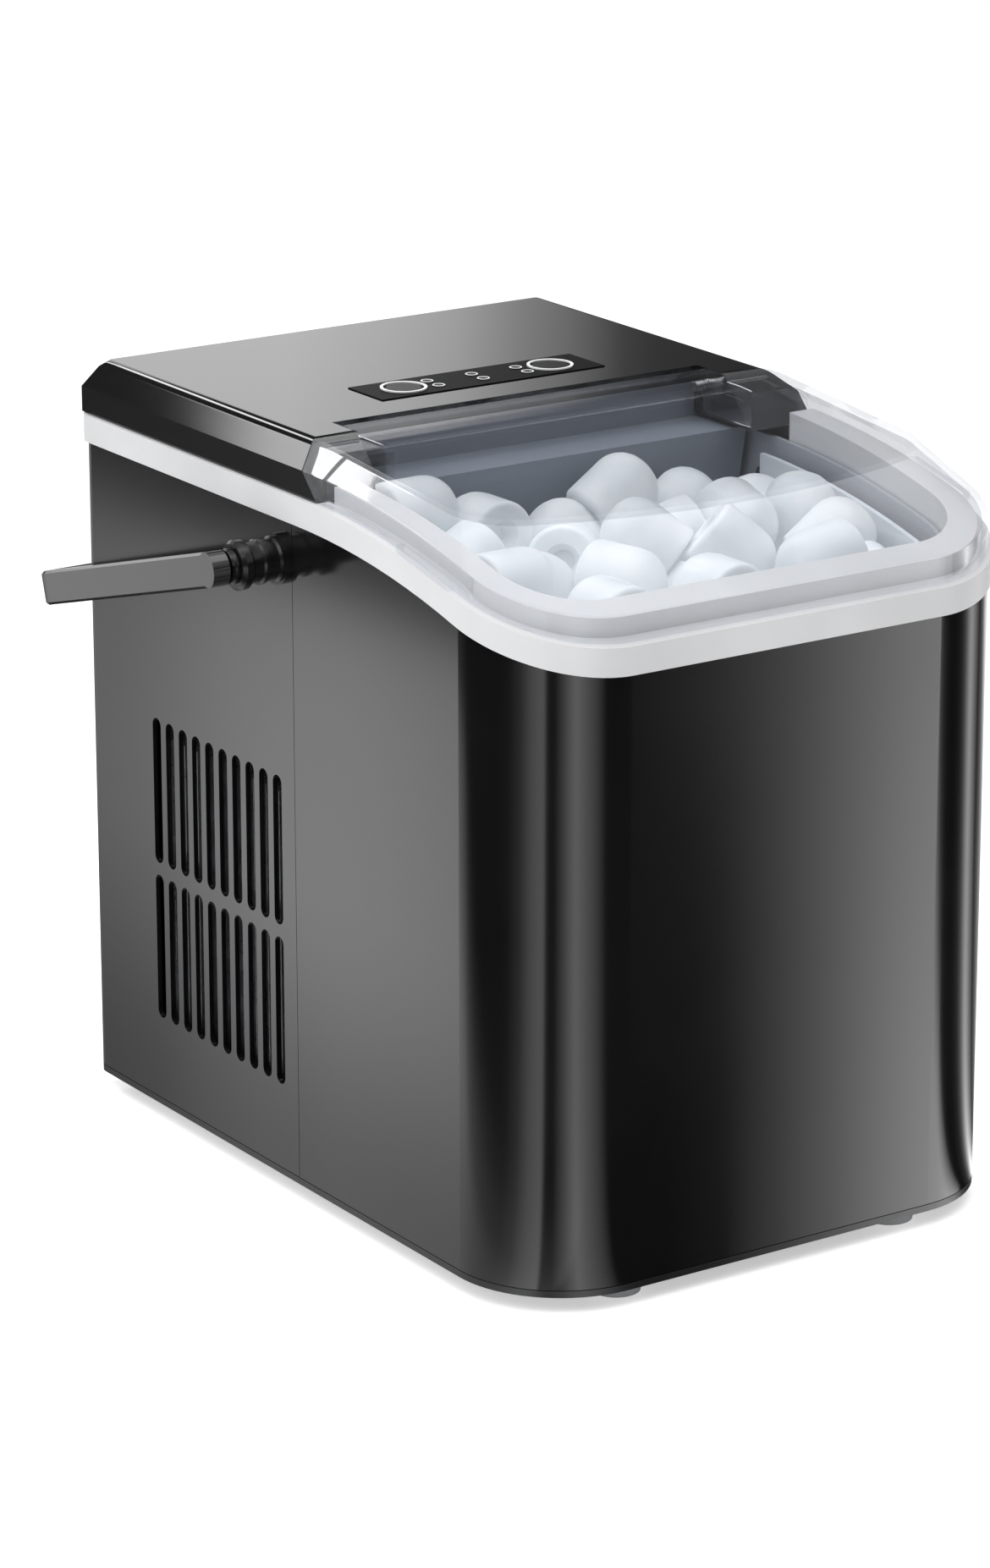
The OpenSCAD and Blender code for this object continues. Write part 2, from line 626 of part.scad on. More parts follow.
module ice_sensors() color("#2a2b2e") in_casing() for (side = [-1, 1])
    translate([side * (half_w - tank_in - 1), sensor_y, sensor_z]) {
        rod_x(-3.5, 3.5, 4);
        translate([side > 0 ? 1.1 : -3.5, 0, 0]) rod_x(0, 2.4, 5.4);
    }
module level_probes() color("#c4c6c8") in_casing() for (z = probe_heights)
    translate([probe_x, step_y + 5, z]) rotate([90, 0, 0]) {
    cylinder(r = 1.5, h = 18);
    cylinder(r = 3.5, h = 4.9);
}

// ---- Ice making ----
module evaporator() color("#c98b5a") in_casing() {
    last = finger_pitch * (front_fingers - 1) / 2;
    end = last + 6;
    tip_z = tray_z - finger_dip;
    for (row = [-1, 1]) translate([0, tray_y + row * row_gap / 2, 0]) {
        count = row < 0 ? front_fingers : front_fingers - 1;
        translate([0, 0, manifold_z]) rod_x(line_x + 0.3, end, manifold_r);
        for (i = [0 : count - 1]) translate([(i - (count - 1) / 2) * finger_pitch, 0, tip_z + finger_r]) {
            cylinder(r = finger_r, h = manifold_z - tip_z - finger_r);
            sphere(finger_r);
        }
    }
    translate([end, tray_y, manifold_z]) rotate([0, 0, -90]) rotate_extrude(angle = 180)
        translate([row_gap / 2, 0]) circle(manifold_r);
}
// Side view of the lower half of a disc about the tray's axis
module half_disc(radius) {
    difference() {
        circle(radius);
        translate([-2 * radius, 0]) square(4 * radius);
    }
}
module water_tray() color("#e8eaec") in_casing() translate([0, tray_y, tray_z]) {
    difference() {
        across(2 * tray_half) half_disc(tray_r);
        across(2 * (tray_half - tray_wall)) circle(tray_r - tray_wall);
    }
    each_side() {
        rod_x(tray_half - tray_wall, tray_half, trunnion_r + 3);
        rod_x(tray_half - tray_wall - 3, half_w - tank_in - 0.4, trunnion_r);
    }
}
module ice_shovel() color("#f2f3f4") in_casing() translate([0, tray_y, tray_z]) {
    arm = tray_half - tray_wall - 2.6;
    reach = tray_r - tray_wall - 0.6;
    blade_in = 30.4;
    translate([-arm, blade_in, -1.8]) cube([2 * arm, reach - blade_in, 1.6]);
    each_side() difference() {
        union() {
            rod_x(arm - 2.2, arm, trunnion_r + 3);
            translate([arm - 2.2, 0, -5]) cube([2.2, reach - 1, 4.8]);
        }
        rod_x(arm - 3, arm + 1, trunnion_r + running);
    }
}
module tray_motor() color("#b8babd") in_casing() {
    x0 = half_w - tank_in + seam_gap;
    translate([0, tray_y, tray_z - 16]) rod_x(x0, half_w - shell_wall - 1.5, 20);
    translate([0, tray_y, tray_z]) rod_x(x0 - 0.5, x0 + 2, 3);
    translate([x0, tray_y - 17, tray_z - 44]) cube([1.5, 34, 56]);
}
// A round tube through points joined by right-angled bends
module tube_run(points, radius, bend) {
    last = len(points) - 1;
    for (i = [0 : last - 1]) {
        d = points[i + 1] - points[i];
        u = d / norm(d);
        cut0 = i > 0 ? bend : 0;
        cut1 = i < last - 1 ? bend : 0;
        turn = u[2] < -0.5 ? [180, 0, 0] : u[2] > 0.5 ? [0, 0, 0] : [0, 90, atan2(u[1], u[0])];
        translate(points[i] + u * cut0) rotate(turn) cylinder(r = radius, h = norm(d) - cut0 - cut1, $fn = 48);
    }
    for (i = [1 : last - 1]) {
        a = (points[i] - points[i - 1]) / norm(points[i] - points[i - 1]);
        b = (points[i + 1] - points[i]) / norm(points[i + 1] - points[i]);
        c = points[i] + (b - a) * bend;
        n = cross(a, b);
        multmatrix([[-b[0], a[0], n[0], c[0]], [-b[1], a[1], n[1], c[1]], [-b[2], a[2], n[2], c[2]],
            [0, 0, 0, 1]]) rotate_extrude(angle = 90, $fn = 48) translate([bend, 0]) circle(radius);
    }
}
module water_pump() color("#3b3d40") in_casing() {
    translate([pump_x, pump_y, floor_z]) {
        cylinder(r = pump_r, h = pump_h);
        cylinder(r = pump_r + 3, h = 4);
        translate([0, 0, pump_h]) cylinder(r = 6, h = 3);
    }
    translate([pump_x, step_y - 3, sump_z]) rotate([-90, 0, 0]) cylinder(r = 4, h = pump_y - step_y);
    translate([pump_x, pump_y, floor_z + 17]) rod_x(0, pump_r + 8, hose_r - 1.2);
}
module pump_hose() color("#d7dade", 0.6) in_casing() difference() {
    tube_run([[pump_x + pump_r + seam_gap, spout_y, floor_z + 17], [hose_x, spout_y, floor_z + 17],
        [hose_x, spout_y, spout_z], [tray_half - 4, spout_y, spout_z]], hose_r, 7);
    translate([pump_x, pump_y, floor_z + 17]) rod_x(0, pump_r + 8.2, hose_r - 1.2 + running);
}
module drain_spout() color("#d0d3d6") in_casing() translate([0, drain_y, drain_z()]) difference() {
    union() {
        rod_x(half_w - tank_in - tank_wall - 1, half_w + 1.2, 7);
        rod_x(half_w + seam_gap / 2, half_w + 1.6, 10);
        rod_x(half_w - tank_in - tank_wall - 3, half_w - tank_in - tank_wall - seam_gap, 7.8);
    }
    rod_x(half_w - 40, half_w + 20, drain_r);
}
module drain_cap() color("#1c1d1f") in_casing() translate([0, drain_y, drain_z()]) difference() {
    union() {
        rod_x(half_w - 6, half_w + 3, drain_r - running);
        rod_x(half_w + 1.6 + seam_gap, half_w + 7, 9);
    }
    for (a = [0 : 30 : 330]) rotate([a, 0, 0]) translate([half_w + 3.5, -1, 8.2]) cube([6, 2, 2]);
}

// ---- Cooling ----
// Profile of the compressor's shell, drawn in by i
module compressor_profile(i) {
    round = 14;
    translate([0, i]) square([compressor_r - round, compressor_h - 2 * i]);
    translate([0, round]) square([compressor_r - i, compressor_h - 2 * round]);
    for (z = [round, compressor_h - round]) translate([compressor_r - round, z]) circle(round - i);
}
module compressor() color("#1d1e20") in_casing() translate([compressor_x, compressor_y, compressor_z]) {
    plate = compressor_foot + 9;
    seam = 0.62 * compressor_h;
    rotate_extrude() intersection() {
        square([compressor_r + 10, compressor_h]);
        union() {
            difference() {
                compressor_profile(0);
                compressor_profile(3);
            }
            // Motor and pump block inside the shell
            square([26, compressor_h - 40]);
            translate([0, seam]) difference() {
                square([compressor_r + 2, 3]);
                translate([0, -1]) square([compressor_r - 2, 5]);
            }
        }
    }
    difference() {
        translate([-plate, -plate, -2.5]) cube([2 * plate, 2 * plate, 2.49]);
        for (x = [-1, 1], y = [-1, 1]) translate([x * compressor_foot, y * compressor_foot, -4])
            cylinder(r = 5, h = 6);
        for (x = [-1, 1]) translate([x * (plate + 8), 0, -4]) cylinder(r = 30, h = 6);
    }
    translate([0, 0, -1]) cylinder(r = compressor_r - 16, h = 2);
    // Terminal cover
    translate([-10, -compressor_r - 4, 60]) difference() {
        cube([20, 20, 26]);
        translate([-1, 6.5, -1]) cube([22, 14, 28]);
    }
}
module at_compressor_feet() in_casing() for (x = [-1, 1], y = [-1, 1])
    translate([compressor_x + x * compressor_foot, compressor_y + y * compressor_foot, 0]) children();
module compressor_grommets() color("#2b2b2c") at_compressor_feet() difference() {
    union() {
        translate([0, 0, floor_z]) cylinder(r = 8, h = compressor_z - 2.5 - floor_z);
        translate([0, 0, floor_z]) cylinder(r = 4.95, h = compressor_z + 1 - floor_z);
        translate([0, 0, compressor_z + 0.5 + eps]) cylinder(r = 7, h = 2);
    }
    cylinder(r = 2.2, h = 40);
}
module compressor_bolts() color("#b5b7b9") at_compressor_feet() {
    translate([0, 0, 0.5]) cylinder(r = 2 - 0.02, h = compressor_z + 4);
    translate([0, 0, compressor_z + 2.5 + 2 * eps]) cylinder(r = 4, h = 3, $fn = 6);
}
module condenser() color("#b9bcbe") in_casing() translate([condenser_x, condenser_y, 0]) {
    rise = coil_rise;
    for (y = [0, condenser_d - 1.2]) translate([0, y, floor_z])
        cube([condenser_t, 1.2, condenser_top - floor_z]);
    for (y = [fin_pitch : fin_pitch : condenser_d - fin_pitch]) translate([0.5, y, fins_z])
        cube([condenser_t - 1, 0.5, condenser_top - fins_z - 4]);
    for (i = [0 : coil_tubes - 1]) translate([condenser_t / 2, 0, coil_z + i * rise]) rotate([-90, 0, 0])
        cylinder(r = 3.2, h = condenser_d + 1, $fn = 32);
    for (i = [0 : coil_tubes - 2])
        translate([condenser_t / 2, i % 2 == 0 ? 0 : condenser_d + 1, coil_z + (i + 0.5) * rise])
        rotate([0, -90, 0]) rotate([0, 0, i % 2 == 0 ? 180 : 0]) rotate_extrude(angle = 180, $fn = 32)
            translate([rise / 2, 0]) circle(3.2);
}
module fan_shroud() color("#34363a") in_casing() {
    difference() {
        union() {
            translate([shroud_x, condenser_y, floor_z])
                cube([shroud_t, condenser_d, condenser_top - floor_z]);
            translate([0, fan_y, fan_z]) rod_x(shroud_x, shroud_x + 15, fan_r + 3);
        }
        translate([0, fan_y, fan_z]) rod_x(shroud_x - 1, shroud_x + 16, fan_r + 1.5);
    }
    difference() {
        union() for (a = [90, 210, 330]) translate([motor_x - 2, fan_y, fan_z]) rotate([a, 0, 0]) {
            translate([0, -4, 10]) cube([2, 8, fan_r - 7.6]);
            translate([-7, -4, fan_r + 1.6]) cube([9, 8, 1.4]);
        }
        translate([0, fan_y, fan_z]) rod_x(motor_x - 3, motor_x + 1, 9);
    }
}
module fan_rotor() color("#4a4c50") in_casing() translate([shroud_x + 4, fan_y, fan_z]) difference() {
    union() {
        rod_x(0, 11, 13);
        intersection() {
            for (i = [0 : blade_count - 1]) rotate([i * 360 / blade_count, 0, 0]) rotate([0, 0, 32])
                translate([2, -9, 8]) cube([1.4, 19, fan_r]);
            difference() {
                rod_x(-1, 13, fan_r);
                rod_x(-2, 14, 12);
            }
        }
    }
    rod_x(-1, 12, 2.02);
}
module fan_shaft() color("#c2c4c6") in_casing() translate([0, fan_y, fan_z])
    rod_x(shroud_x + 4, motor_x + 16, 2);
module fan_motor() color("#55585c") in_casing() translate([0, fan_y, fan_z]) difference() {
    union() {
        rod_x(motor_x + eps, motor_x + 20, 16);
        rod_x(motor_x - 2.5, motor_x + 1, 6);
    }
    rod_x(motor_x - 3, motor_x + 17, 2 + running);
}
drier_x = -60;
drier_y = rear_y - 18.2;
drier_z = 60;
module filter_drier() color("#b87333") in_casing() translate([drier_x, drier_y, drier_z]) rotate_extrude() {
    square([8, 60]);
    translate([0, -8]) square([3, 76]);
    polygon([[0, -6], [3, -6], [8, 0], [8, 60], [3, 66], [0, 66]]);
}
line_r = 2.4;
line_x = -half_w + tank_in - 2.8;
line_bend = 3.6;
gas_z = shelf_z + 8;
valve_x = -30;
valve_y = rear_y - 32.2;
valve_z = gas_z + line_r + 8.3;
module solenoid_valve() color("#3a5f9a") in_casing() translate([valve_x, valve_y, valve_z]) {
    translate([-11, -10, 4]) cube([22, 20, 22]);
    cylinder(r = 5, h = 32);
    translate([0, 0, -8]) cylinder(r = 6, h = 12.5);
}
module refrigerant_tubes() color("#b5703a") in_casing() {
    outer_x = line_x - 4;
    front_row = tray_y - row_gap / 2;
    rear_row = tray_y + row_gap / 2;
    cap_z = tank_rear_top - 8;
    coil_x = condenser_x + condenser_t / 2;
    coil_y = condenser_y + condenser_d + 1.2;
    suction_y = tank_rear + 16;
    discharge_y = tank_rear + 6;
    shell_top = compressor_z + compressor_h + 0.2;
    coil_top = coil_z + (coil_tubes - 1) * coil_rise;
    // Suction line, evaporator to compressor
    tube_run([[line_x, rear_row, manifold_z], [outer_x, rear_row, manifold_z],
        [outer_x, suction_y, manifold_z], [compressor_x + 18, suction_y, manifold_z],
        [compressor_x + 18, suction_y, shell_top]], line_r, line_bend);
    // Capillary, drier to evaporator
    tube_run([[drier_x, drier_y, drier_z + 68.3], [drier_x, drier_y, cap_z], [outer_x, drier_y, cap_z],
        [outer_x, front_row, cap_z], [outer_x, front_row, manifold_z], [line_x, front_row, manifold_z]],
        1.6, line_bend);
    // Discharge line, compressor to condenser
    tube_run([[compressor_x - 20, discharge_y, shell_top], [compressor_x - 20, discharge_y, gas_z],
        [compressor_x - 20, valve_y, gas_z], [coil_x, valve_y, gas_z], [coil_x, valve_y, coil_top],
        [coil_x, coil_y, coil_top]], line_r, line_bend);
    // Defrost line, valve to capillary
    tube_run([[valve_x - 6.2, valve_y, valve_z - 4], [outer_x, valve_y, valve_z - 4],
        [outer_x, valve_y, cap_z - 1.8]], line_r, line_bend);
    // Liquid line, condenser to drier
    tube_run([[coil_x, coil_y, coil_z], [coil_x, drier_y, coil_z], [drier_x, drier_y, coil_z],
        [drier_x, drier_y, drier_z - 8.2]], line_r, line_bend);
}
module power_board() color("#2d6a3c") in_casing() {
    width = 86;
    height = 66;
    y = rear_y - shell_wall - 6;
    z = band_z - 88;
    translate([0, y, z]) cube([width, 1.6, height]);
    // Stand-offs, transformer, relays and capacitors
    for (x = [5, width - 5], up = [5, height - 5]) translate([x, y + 1.5, z + up]) rotate([-90, 0, 0])
        cylinder(r = 2.5, h = 4.3);
    translate([8, y - 16, z + 7]) cube([28, 16.1, 24]);
    for (x = [44, 62]) translate([x, y - 13, z + 7]) cube([14, 13.1, 17]);
    for (x = [46, 60, 74]) translate([x, y - 18, z + 47]) rotate([-90, 0, 0]) cylinder(r = 5, h = 18.1);
}

// ---- Carrying handle ----
module at_pivots() in_casing() translate([0, pivot_y, pivot_z]) each_side() children();
boss_end = handle_half - strap_t - 9;
module handle_bosses() color("#101112") at_pivots() difference() {
    union() {
        rod_x(half_w + eps, half_w + 2.6, 9.5);
        turned_x() polygon([[0, half_w - shell_wall - 4], [6, half_w - shell_wall - 4], [6, half_w],
            [8.6, half_w + 2], [8.6, half_w + 3.6], [7.7, half_w + 4.4], [7.7, half_w + 8],
            [8.3, half_w + 8.6], [8.3, half_w + 10.2], [7.6, half_w + 11], [7.6, boss_end], [0, boss_end]]);
    }
    rod_x(half_w - 30, handle_half, 2.5 + running);
}
module handle_collars() color("#d3d5d7") at_pivots() difference() {
    turned_x() polygon([[0, boss_end + 0.1], [8.2, boss_end + 0.1], [9.2, boss_end + 1.2],
        [9.2, boss_end + 3.8], [8, boss_end + 5.1], [0, boss_end + 5.1]]);
    rod_x(half_w - 30, handle_half, 2.5 + running);
}
module pivot_pins() color("#a8aaac") at_pivots() {
    rod_x(half_w - shell_wall - 7, handle_half - 1.8, 2.5);
    rod_x(half_w - shell_wall - 8, half_w - shell_wall - 4 - eps, 5);
}
// Carries a piece drawn flat, reaching rearward, into the folded handle's slope
module at_fold() in_casing() translate([0, pivot_y, pivot_z]) rotate([-handle_slope, 0, 0]) children();
// Cross-section of the strap, thickness along x and width along y, with bevelled edges
module strap_section(swell = 0) {
    t = strap_t / 2 + swell;
    w = strap_w / 2 + swell;
    bevel = 1;
    polygon([[-t, bevel - w], [bevel - t, -w], [t - bevel, -w], [t, bevel - w],
        [t, w - bevel], [t - bevel, w], [bevel - t, w], [-t, w - bevel]]);
}
module carry_handle() color("#8d8f92") at_fold() difference() {
    mid = strap_t / 2;
    lean = atan2(handle_half - grip_half, handle_reach);
    bend = bend_r - mid;
    grip_y = handle_reach - mid;
    corner_x = handle_half - mid - tan(lean) * grip_y;
    trim = bend * tan((90 - lean) / 2);
    lap = 0.3;                  // the straight lengths run into the slightly stouter bends
    union() {
        each_side() {
            translate([handle_half - mid, 0, 0]) rotate([0, 0, lean]) {
                rotate([-90, 0, 0]) linear_extrude(grip_y / cos(lean) - trim + lap) strap_section();
                rod_x(-mid, mid, strap_w / 2);
            }
            translate([corner_x, grip_y, 0]) rotate([0, 0, lean]) translate([-bend, -trim, 0])
                rotate_extrude(angle = 90 - lean) translate([bend, 0]) strap_section(0.03);
        }
        grip_end = corner_x - trim;
        translate([-grip_end - lap, grip_y, 0]) rotate([0, 90, 0]) rotate([0, 0, 90])
            linear_extrude(2 * (grip_end + lap)) strap_section();
    }
    each_side() rod_x(half_w, handle_half - 1.5, 2.5 + running);
}
module handle_bushes() color("#0f1011") at_pivots() difference() {
    turned_x() polygon([[0, boss_end + 5.4], [6.6, boss_end + 5.4], [6.6, boss_end + 6.6],
        [6.2, boss_end + 7], [6.2, boss_end + 8.2], [0, boss_end + 8.2]]);
    rod_x(half_w - 30, handle_half, 2.5 + running);
}

base_tray();
feet();
front_wrap();
rear_shell();
top_frame();
top_cover();
cord_gland();
rear_screws();
control_overlay();
button_rings();
indicator_lenses();
control_board();
power_button();
select_button();
lid();
hinge_pins();
evaporator_cover();
tank();
tank_insulation();
ice_basket();
ice_sensors();
level_probes();
evaporator();
water_tray();
ice_shovel();
tray_motor();
water_pump();
pump_hose();
drain_spout();
drain_cap();
compressor();
compressor_grommets();
compressor_bolts();
condenser();
fan_shroud();
fan_rotor();
fan_shaft();
fan_motor();
filter_drier();
solenoid_valve();
refrigerant_tubes();
power_board();
handle_bosses();
handle_collars();
pivot_pins();
carry_handle();
handle_bushes();
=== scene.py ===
"""Dress the countertop bullet-ice maker and set it up in a plain studio.

Each class below stands for one sub-assembly of the machine or for one finish.  Sizes are in metres, in the
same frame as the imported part: x to the right, y to the rear, z up from the worktop.
"""

from __future__ import annotations

import itertools
import logging
import math
import random
from dataclasses import dataclass, field
from enum import Enum
from typing import Callable, Sequence, Union

import bmesh
import bpy
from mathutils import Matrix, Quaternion, Vector


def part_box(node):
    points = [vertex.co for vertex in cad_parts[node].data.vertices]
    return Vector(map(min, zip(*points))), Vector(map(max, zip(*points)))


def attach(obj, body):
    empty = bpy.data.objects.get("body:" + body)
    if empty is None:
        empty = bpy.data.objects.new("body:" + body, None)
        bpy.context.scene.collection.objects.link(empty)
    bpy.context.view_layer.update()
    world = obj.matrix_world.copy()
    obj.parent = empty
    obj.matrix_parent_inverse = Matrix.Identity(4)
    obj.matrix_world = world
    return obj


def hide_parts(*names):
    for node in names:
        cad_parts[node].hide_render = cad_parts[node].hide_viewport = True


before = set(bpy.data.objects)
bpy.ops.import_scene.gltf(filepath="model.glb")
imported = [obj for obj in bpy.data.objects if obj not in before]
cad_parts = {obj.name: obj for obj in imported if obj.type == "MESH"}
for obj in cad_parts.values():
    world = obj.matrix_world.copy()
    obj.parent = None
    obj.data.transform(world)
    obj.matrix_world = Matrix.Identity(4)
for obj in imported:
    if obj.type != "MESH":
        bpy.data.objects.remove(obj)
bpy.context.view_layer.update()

LOG = logging.getLogger("ice_maker")
MM = 0.001
GRAVITY = 9.81
LEVEL = 0.99  # a face whose normal's z is beyond this counts as level

Vec3 = tuple[float, float, float]
Colour = tuple[float, float, float]
Stops = tuple[tuple[float, float], ...]


# ---------------------------------------------------------------------------------------------------------
# Shader expressions


class Signal:
    """A shader socket that can be used in ordinary arithmetic."""

    def __init__(self, graph: "Graph", socket: bpy.types.NodeSocket) -> None:
        """Wrap a socket of one graph."""
        self.graph = graph
        self.socket = socket

    def _math(self, operation: str, *values: "Value") -> "Signal":
        """Add one Math node for an operation on plain numbers."""
        return self.graph.node("ShaderNodeMath", {"operation": operation}, dict(enumerate(values)))

    def __add__(self, other: "Value") -> "Signal":
        """Return self + other."""
        return self._math("ADD", self, other)

    __radd__ = __add__

    def __mul__(self, other: "Value") -> "Signal":
        """Return self * other."""
        return self._math("MULTIPLY", self, other)

    __rmul__ = __mul__

    def __sub__(self, other: "Value") -> "Signal":
        """Return self - other."""
        return self._math("SUBTRACT", self, other)

    def __rsub__(self, other: "Value") -> "Signal":
        """Return other - self."""
        return self._math("SUBTRACT", other, self)

    def __truediv__(self, other: "Value") -> "Signal":
        """Return self / other."""
        return self._math("DIVIDE", self, other)

    def __rtruediv__(self, other: "Value") -> "Signal":
        """Return other / self."""
        return self._math("DIVIDE", other, self)

    def power(self, exponent: float) -> "Signal":
        """Return self raised to a power."""
        return self._math("POWER", self, exponent)

    def bearing(self, across: "Value") -> "Signal":
        """Return the angle, in degrees, of the vector whose y is self and whose x is across."""
        return self._math("ARCTAN2", self, across) * math.degrees(1.0)

    def span(self, low: float, high: float, start: float = 0.0, end: float = 1.0) -> "Signal":
        """Carry the range low..high smoothly onto start..end.

        Args:
            low: Value that gives start.
            high: Value that gives end.
            start: Result at low.
            end: Result at high.

        Returns:
            The clamped, smoothed result.
        """
        return self.graph.node("ShaderNodeMapRange", {"interpolation_type": "SMOOTHSTEP"},
                               {"Value": self, "From Min": low, "From Max": high, "To Min": start, "To Max": end})


Value = Union[float, Signal]


class Graph:
    """The node tree of one material, or of the room's light."""

    def __init__(self, name: str, room: bool = False) -> None:
        """Start an empty tree with an output node.

        Args:
            name: Name of the material or the room.
            room: True for the world in place of a material.
        """
        self.owner = bpy.data.worlds.new(name) if room else bpy.data.materials.new(name)
        self.owner.use_nodes = True
        self.tree = self.owner.node_tree
        self.tree.nodes.clear()
        self.output = self.tree.nodes.new("ShaderNodeOutputWorld" if room else "ShaderNodeOutputMaterial")

    def node(self, kind: str, settings: dict[str, object] | None = None,
             values: dict[Union[str, int], object] | None = None, out: Union[str, int] = 0) -> Signal:
        """Add a node.

        Args:
            kind: Blender's type name of the node.
            settings: Its own settings, made before its sockets are filled; a ramp's stops go in "stops".
            values: What its input sockets hold: numbers, colours, vectors or signals.
            out: The output to return.

        Returns:
            The chosen output as a signal.
        """
        made = self.tree.nodes.new(kind)
        for key, value in (settings or {}).items():
            if key == "stops":
                self._ramp(made, value)
            else:
                setattr(made, key, value)
        for key, value in (values or {}).items():
            socket = made.inputs[key]
            if isinstance(value, Signal):
                self.tree.links.new(value.socket, socket)
            else:
                socket.default_value = value
        return Signal(self, made.outputs[out])

    @staticmethod
    def _ramp(made: bpy.types.Node, stops: Sequence[tuple[float, Colour]]) -> None:
        """Set the stops of a colour ramp.

        Args:
            made: The ramp's node.
            stops: Place and colour of each stop.
        """
        elements = made.color_ramp.elements
        while len(elements) > 1:
            elements.remove(elements[-1])
        elements[0].position = stops[0][0]
        elements[0].color = (*stops[0][1], 1.0)
        for place, colour in stops[1:]:
            elements.new(place).color = (*colour, 1.0)

    def place(self) -> Signal:
        """Return the point's own coordinates in the machine's frame."""
        return self.node("ShaderNodeTexCoord", out="Object")

    def axes(self) -> tuple[Signal, Signal, Signal]:
        """Return the point's own x, y and z."""
        return tuple(self.node("ShaderNodeSeparateXYZ", None, {0: self.place()}, axis) for axis in "XYZ")

    def noise(self, scale: float, detail: float = 2.0) -> Signal:
        """Return fractal noise of about unit range.

        Args:
            scale: Waves per metre.
            detail: Octaves.

        Returns:
            The noise value.
        """
        values = {"Vector": self.place(), "Scale": scale, "Detail": detail}
        return self.node("ShaderNodeTexNoise", None, values, "Fac")

    def blend(self, factor: Value, first: Colour, second: Colour) -> Signal:
        """Mix two colours.

        Args:
            factor: Share of the second colour.
            first: Colour at 0.
            second: Colour at 1.

        Returns:
            The mixed colour.
        """
        factor_in, first_in, second_in, colour_out = 0, 6, 7, 2
        values = {factor_in: factor, first_in: (*first, 1.0), second_in: (*second, 1.0)}
        return self.node("ShaderNodeMix", {"data_type": "RGBA"}, values, colour_out)

    def bump(self, height: Signal, strength: float, distance: float) -> Signal:
        """Return a normal raised by a height signal.

        Args:
            height: The relief.
            strength: Share of the relief that shows.
            distance: Height of the relief, in metres.

        Returns:
            The bumped normal.
        """
        return self.node("ShaderNodeBump", None, {"Height": height, "Strength": strength, "Distance": distance})

    def principled(self, values: dict[str, object]) -> bpy.types.Material:
        """Close the material with a Principled shader.

        Args:
            values: What its sockets hold.

        Returns:
            The finished material.
        """
        return self.close(self.node("ShaderNodeBsdfPrincipled", None, values))

    def close(self, shader: Signal) -> bpy.types.Material:
        """Link a shader to the output and return the tree's owner."""
        self.tree.links.new(shader.socket, self.output.inputs["Surface"])
        return self.owner


# ---------------------------------------------------------------------------------------------------------
# Finishes


@dataclass(frozen=True)
class Lacquer:
    """Gloss lacquer: slow clouds in its tone and a faint orange peel."""

    name: str
    colour: Colour
    roughness: float
    coat: float
    peel: float
    cloud_scale: float = 9.0
    peel_scale: float = 900.0
    peel_height: float = 0.4 * MM
    coat_roughness: float = 0.04

    def material(self) -> bpy.types.Material:
        """Build the lacquer.

        Returns:
            Its material.
        """
        graph = Graph(self.name)
        cloud = graph.noise(self.cloud_scale, 3.0)
        peel = graph.noise(self.peel_scale)
        lighter = tuple(min(1.0, c * 1.25 + 0.001) for c in self.colour)
        return graph.principled({
            "Base Color": graph.blend(cloud.span(0.35, 0.65), self.colour, lighter),
            "Roughness": cloud.span(0.3, 0.7, self.roughness * 0.92, self.roughness * 1.08),
            "Coat Weight": self.coat, "Coat Roughness": self.coat_roughness,
            "Normal": graph.bump(peel, self.peel, self.peel_height)})


@dataclass(frozen=True)
class Moulding:
    """Injection-moulded plastic with a fine spark texture and slight cloudiness."""

    name: str
    colour: Colour
    roughness: float
    grain: float = 0.15
    grain_scale: float = 2500.0
    coat: float = 0.0
    glow: float = 0.0
    specular: float = 0.5
    refraction: float = 1.5
    cloud_scale: float = 14.0
    grain_height: float = 0.1 * MM
    coat_roughness: float = 0.05
    glow_depth: float = 4.0 * MM

    def material(self) -> bpy.types.Material:
        """Build the plastic.

        Returns:
            Its material.
        """
        graph = Graph(self.name)
        cloud = graph.noise(self.cloud_scale, 3.0)
        spark = graph.noise(self.grain_scale)
        darker = tuple(c * 0.9 for c in self.colour)
        return graph.principled({
            "Base Color": graph.blend(cloud.span(0.3, 0.7), darker, self.colour),
            "Roughness": spark.span(0.3, 0.7, self.roughness * 0.88, self.roughness * 1.12),
            "Coat Weight": self.coat, "Coat Roughness": self.coat_roughness,
            "Specular IOR Level": self.specular, "IOR": self.refraction,
            "Subsurface Weight": self.glow, "Subsurface Scale": self.glow_depth,
            "Normal": graph.bump(spark, self.grain, self.grain_height)})


@dataclass(frozen=True)
class Metal:
    """Bare or plated metal with fine wear and dull stains."""

    name: str
    colour: Colour
    roughness: float
    wear_scale: float = 700.0
    wear: float = 0.08
    wear_height: float = 0.1 * MM
    stain_scale: float = 22.0

    def material(self) -> bpy.types.Material:
        """Build the metal.

        Returns:
            Its material.
        """
        graph = Graph(self.name)
        wear = graph.noise(self.wear_scale)
        stain = graph.noise(self.stain_scale, 4.0)
        dull = tuple(c * 0.82 for c in self.colour)
        return graph.principled({
            "Base Color": graph.blend(stain.span(0.35, 0.7), dull, self.colour),
            "Metallic": 1.0,
            "Roughness": wear.span(0.25, 0.75, self.roughness * 0.75, self.roughness * 1.25),
            "Normal": graph.bump(wear, self.wear, self.wear_height)})


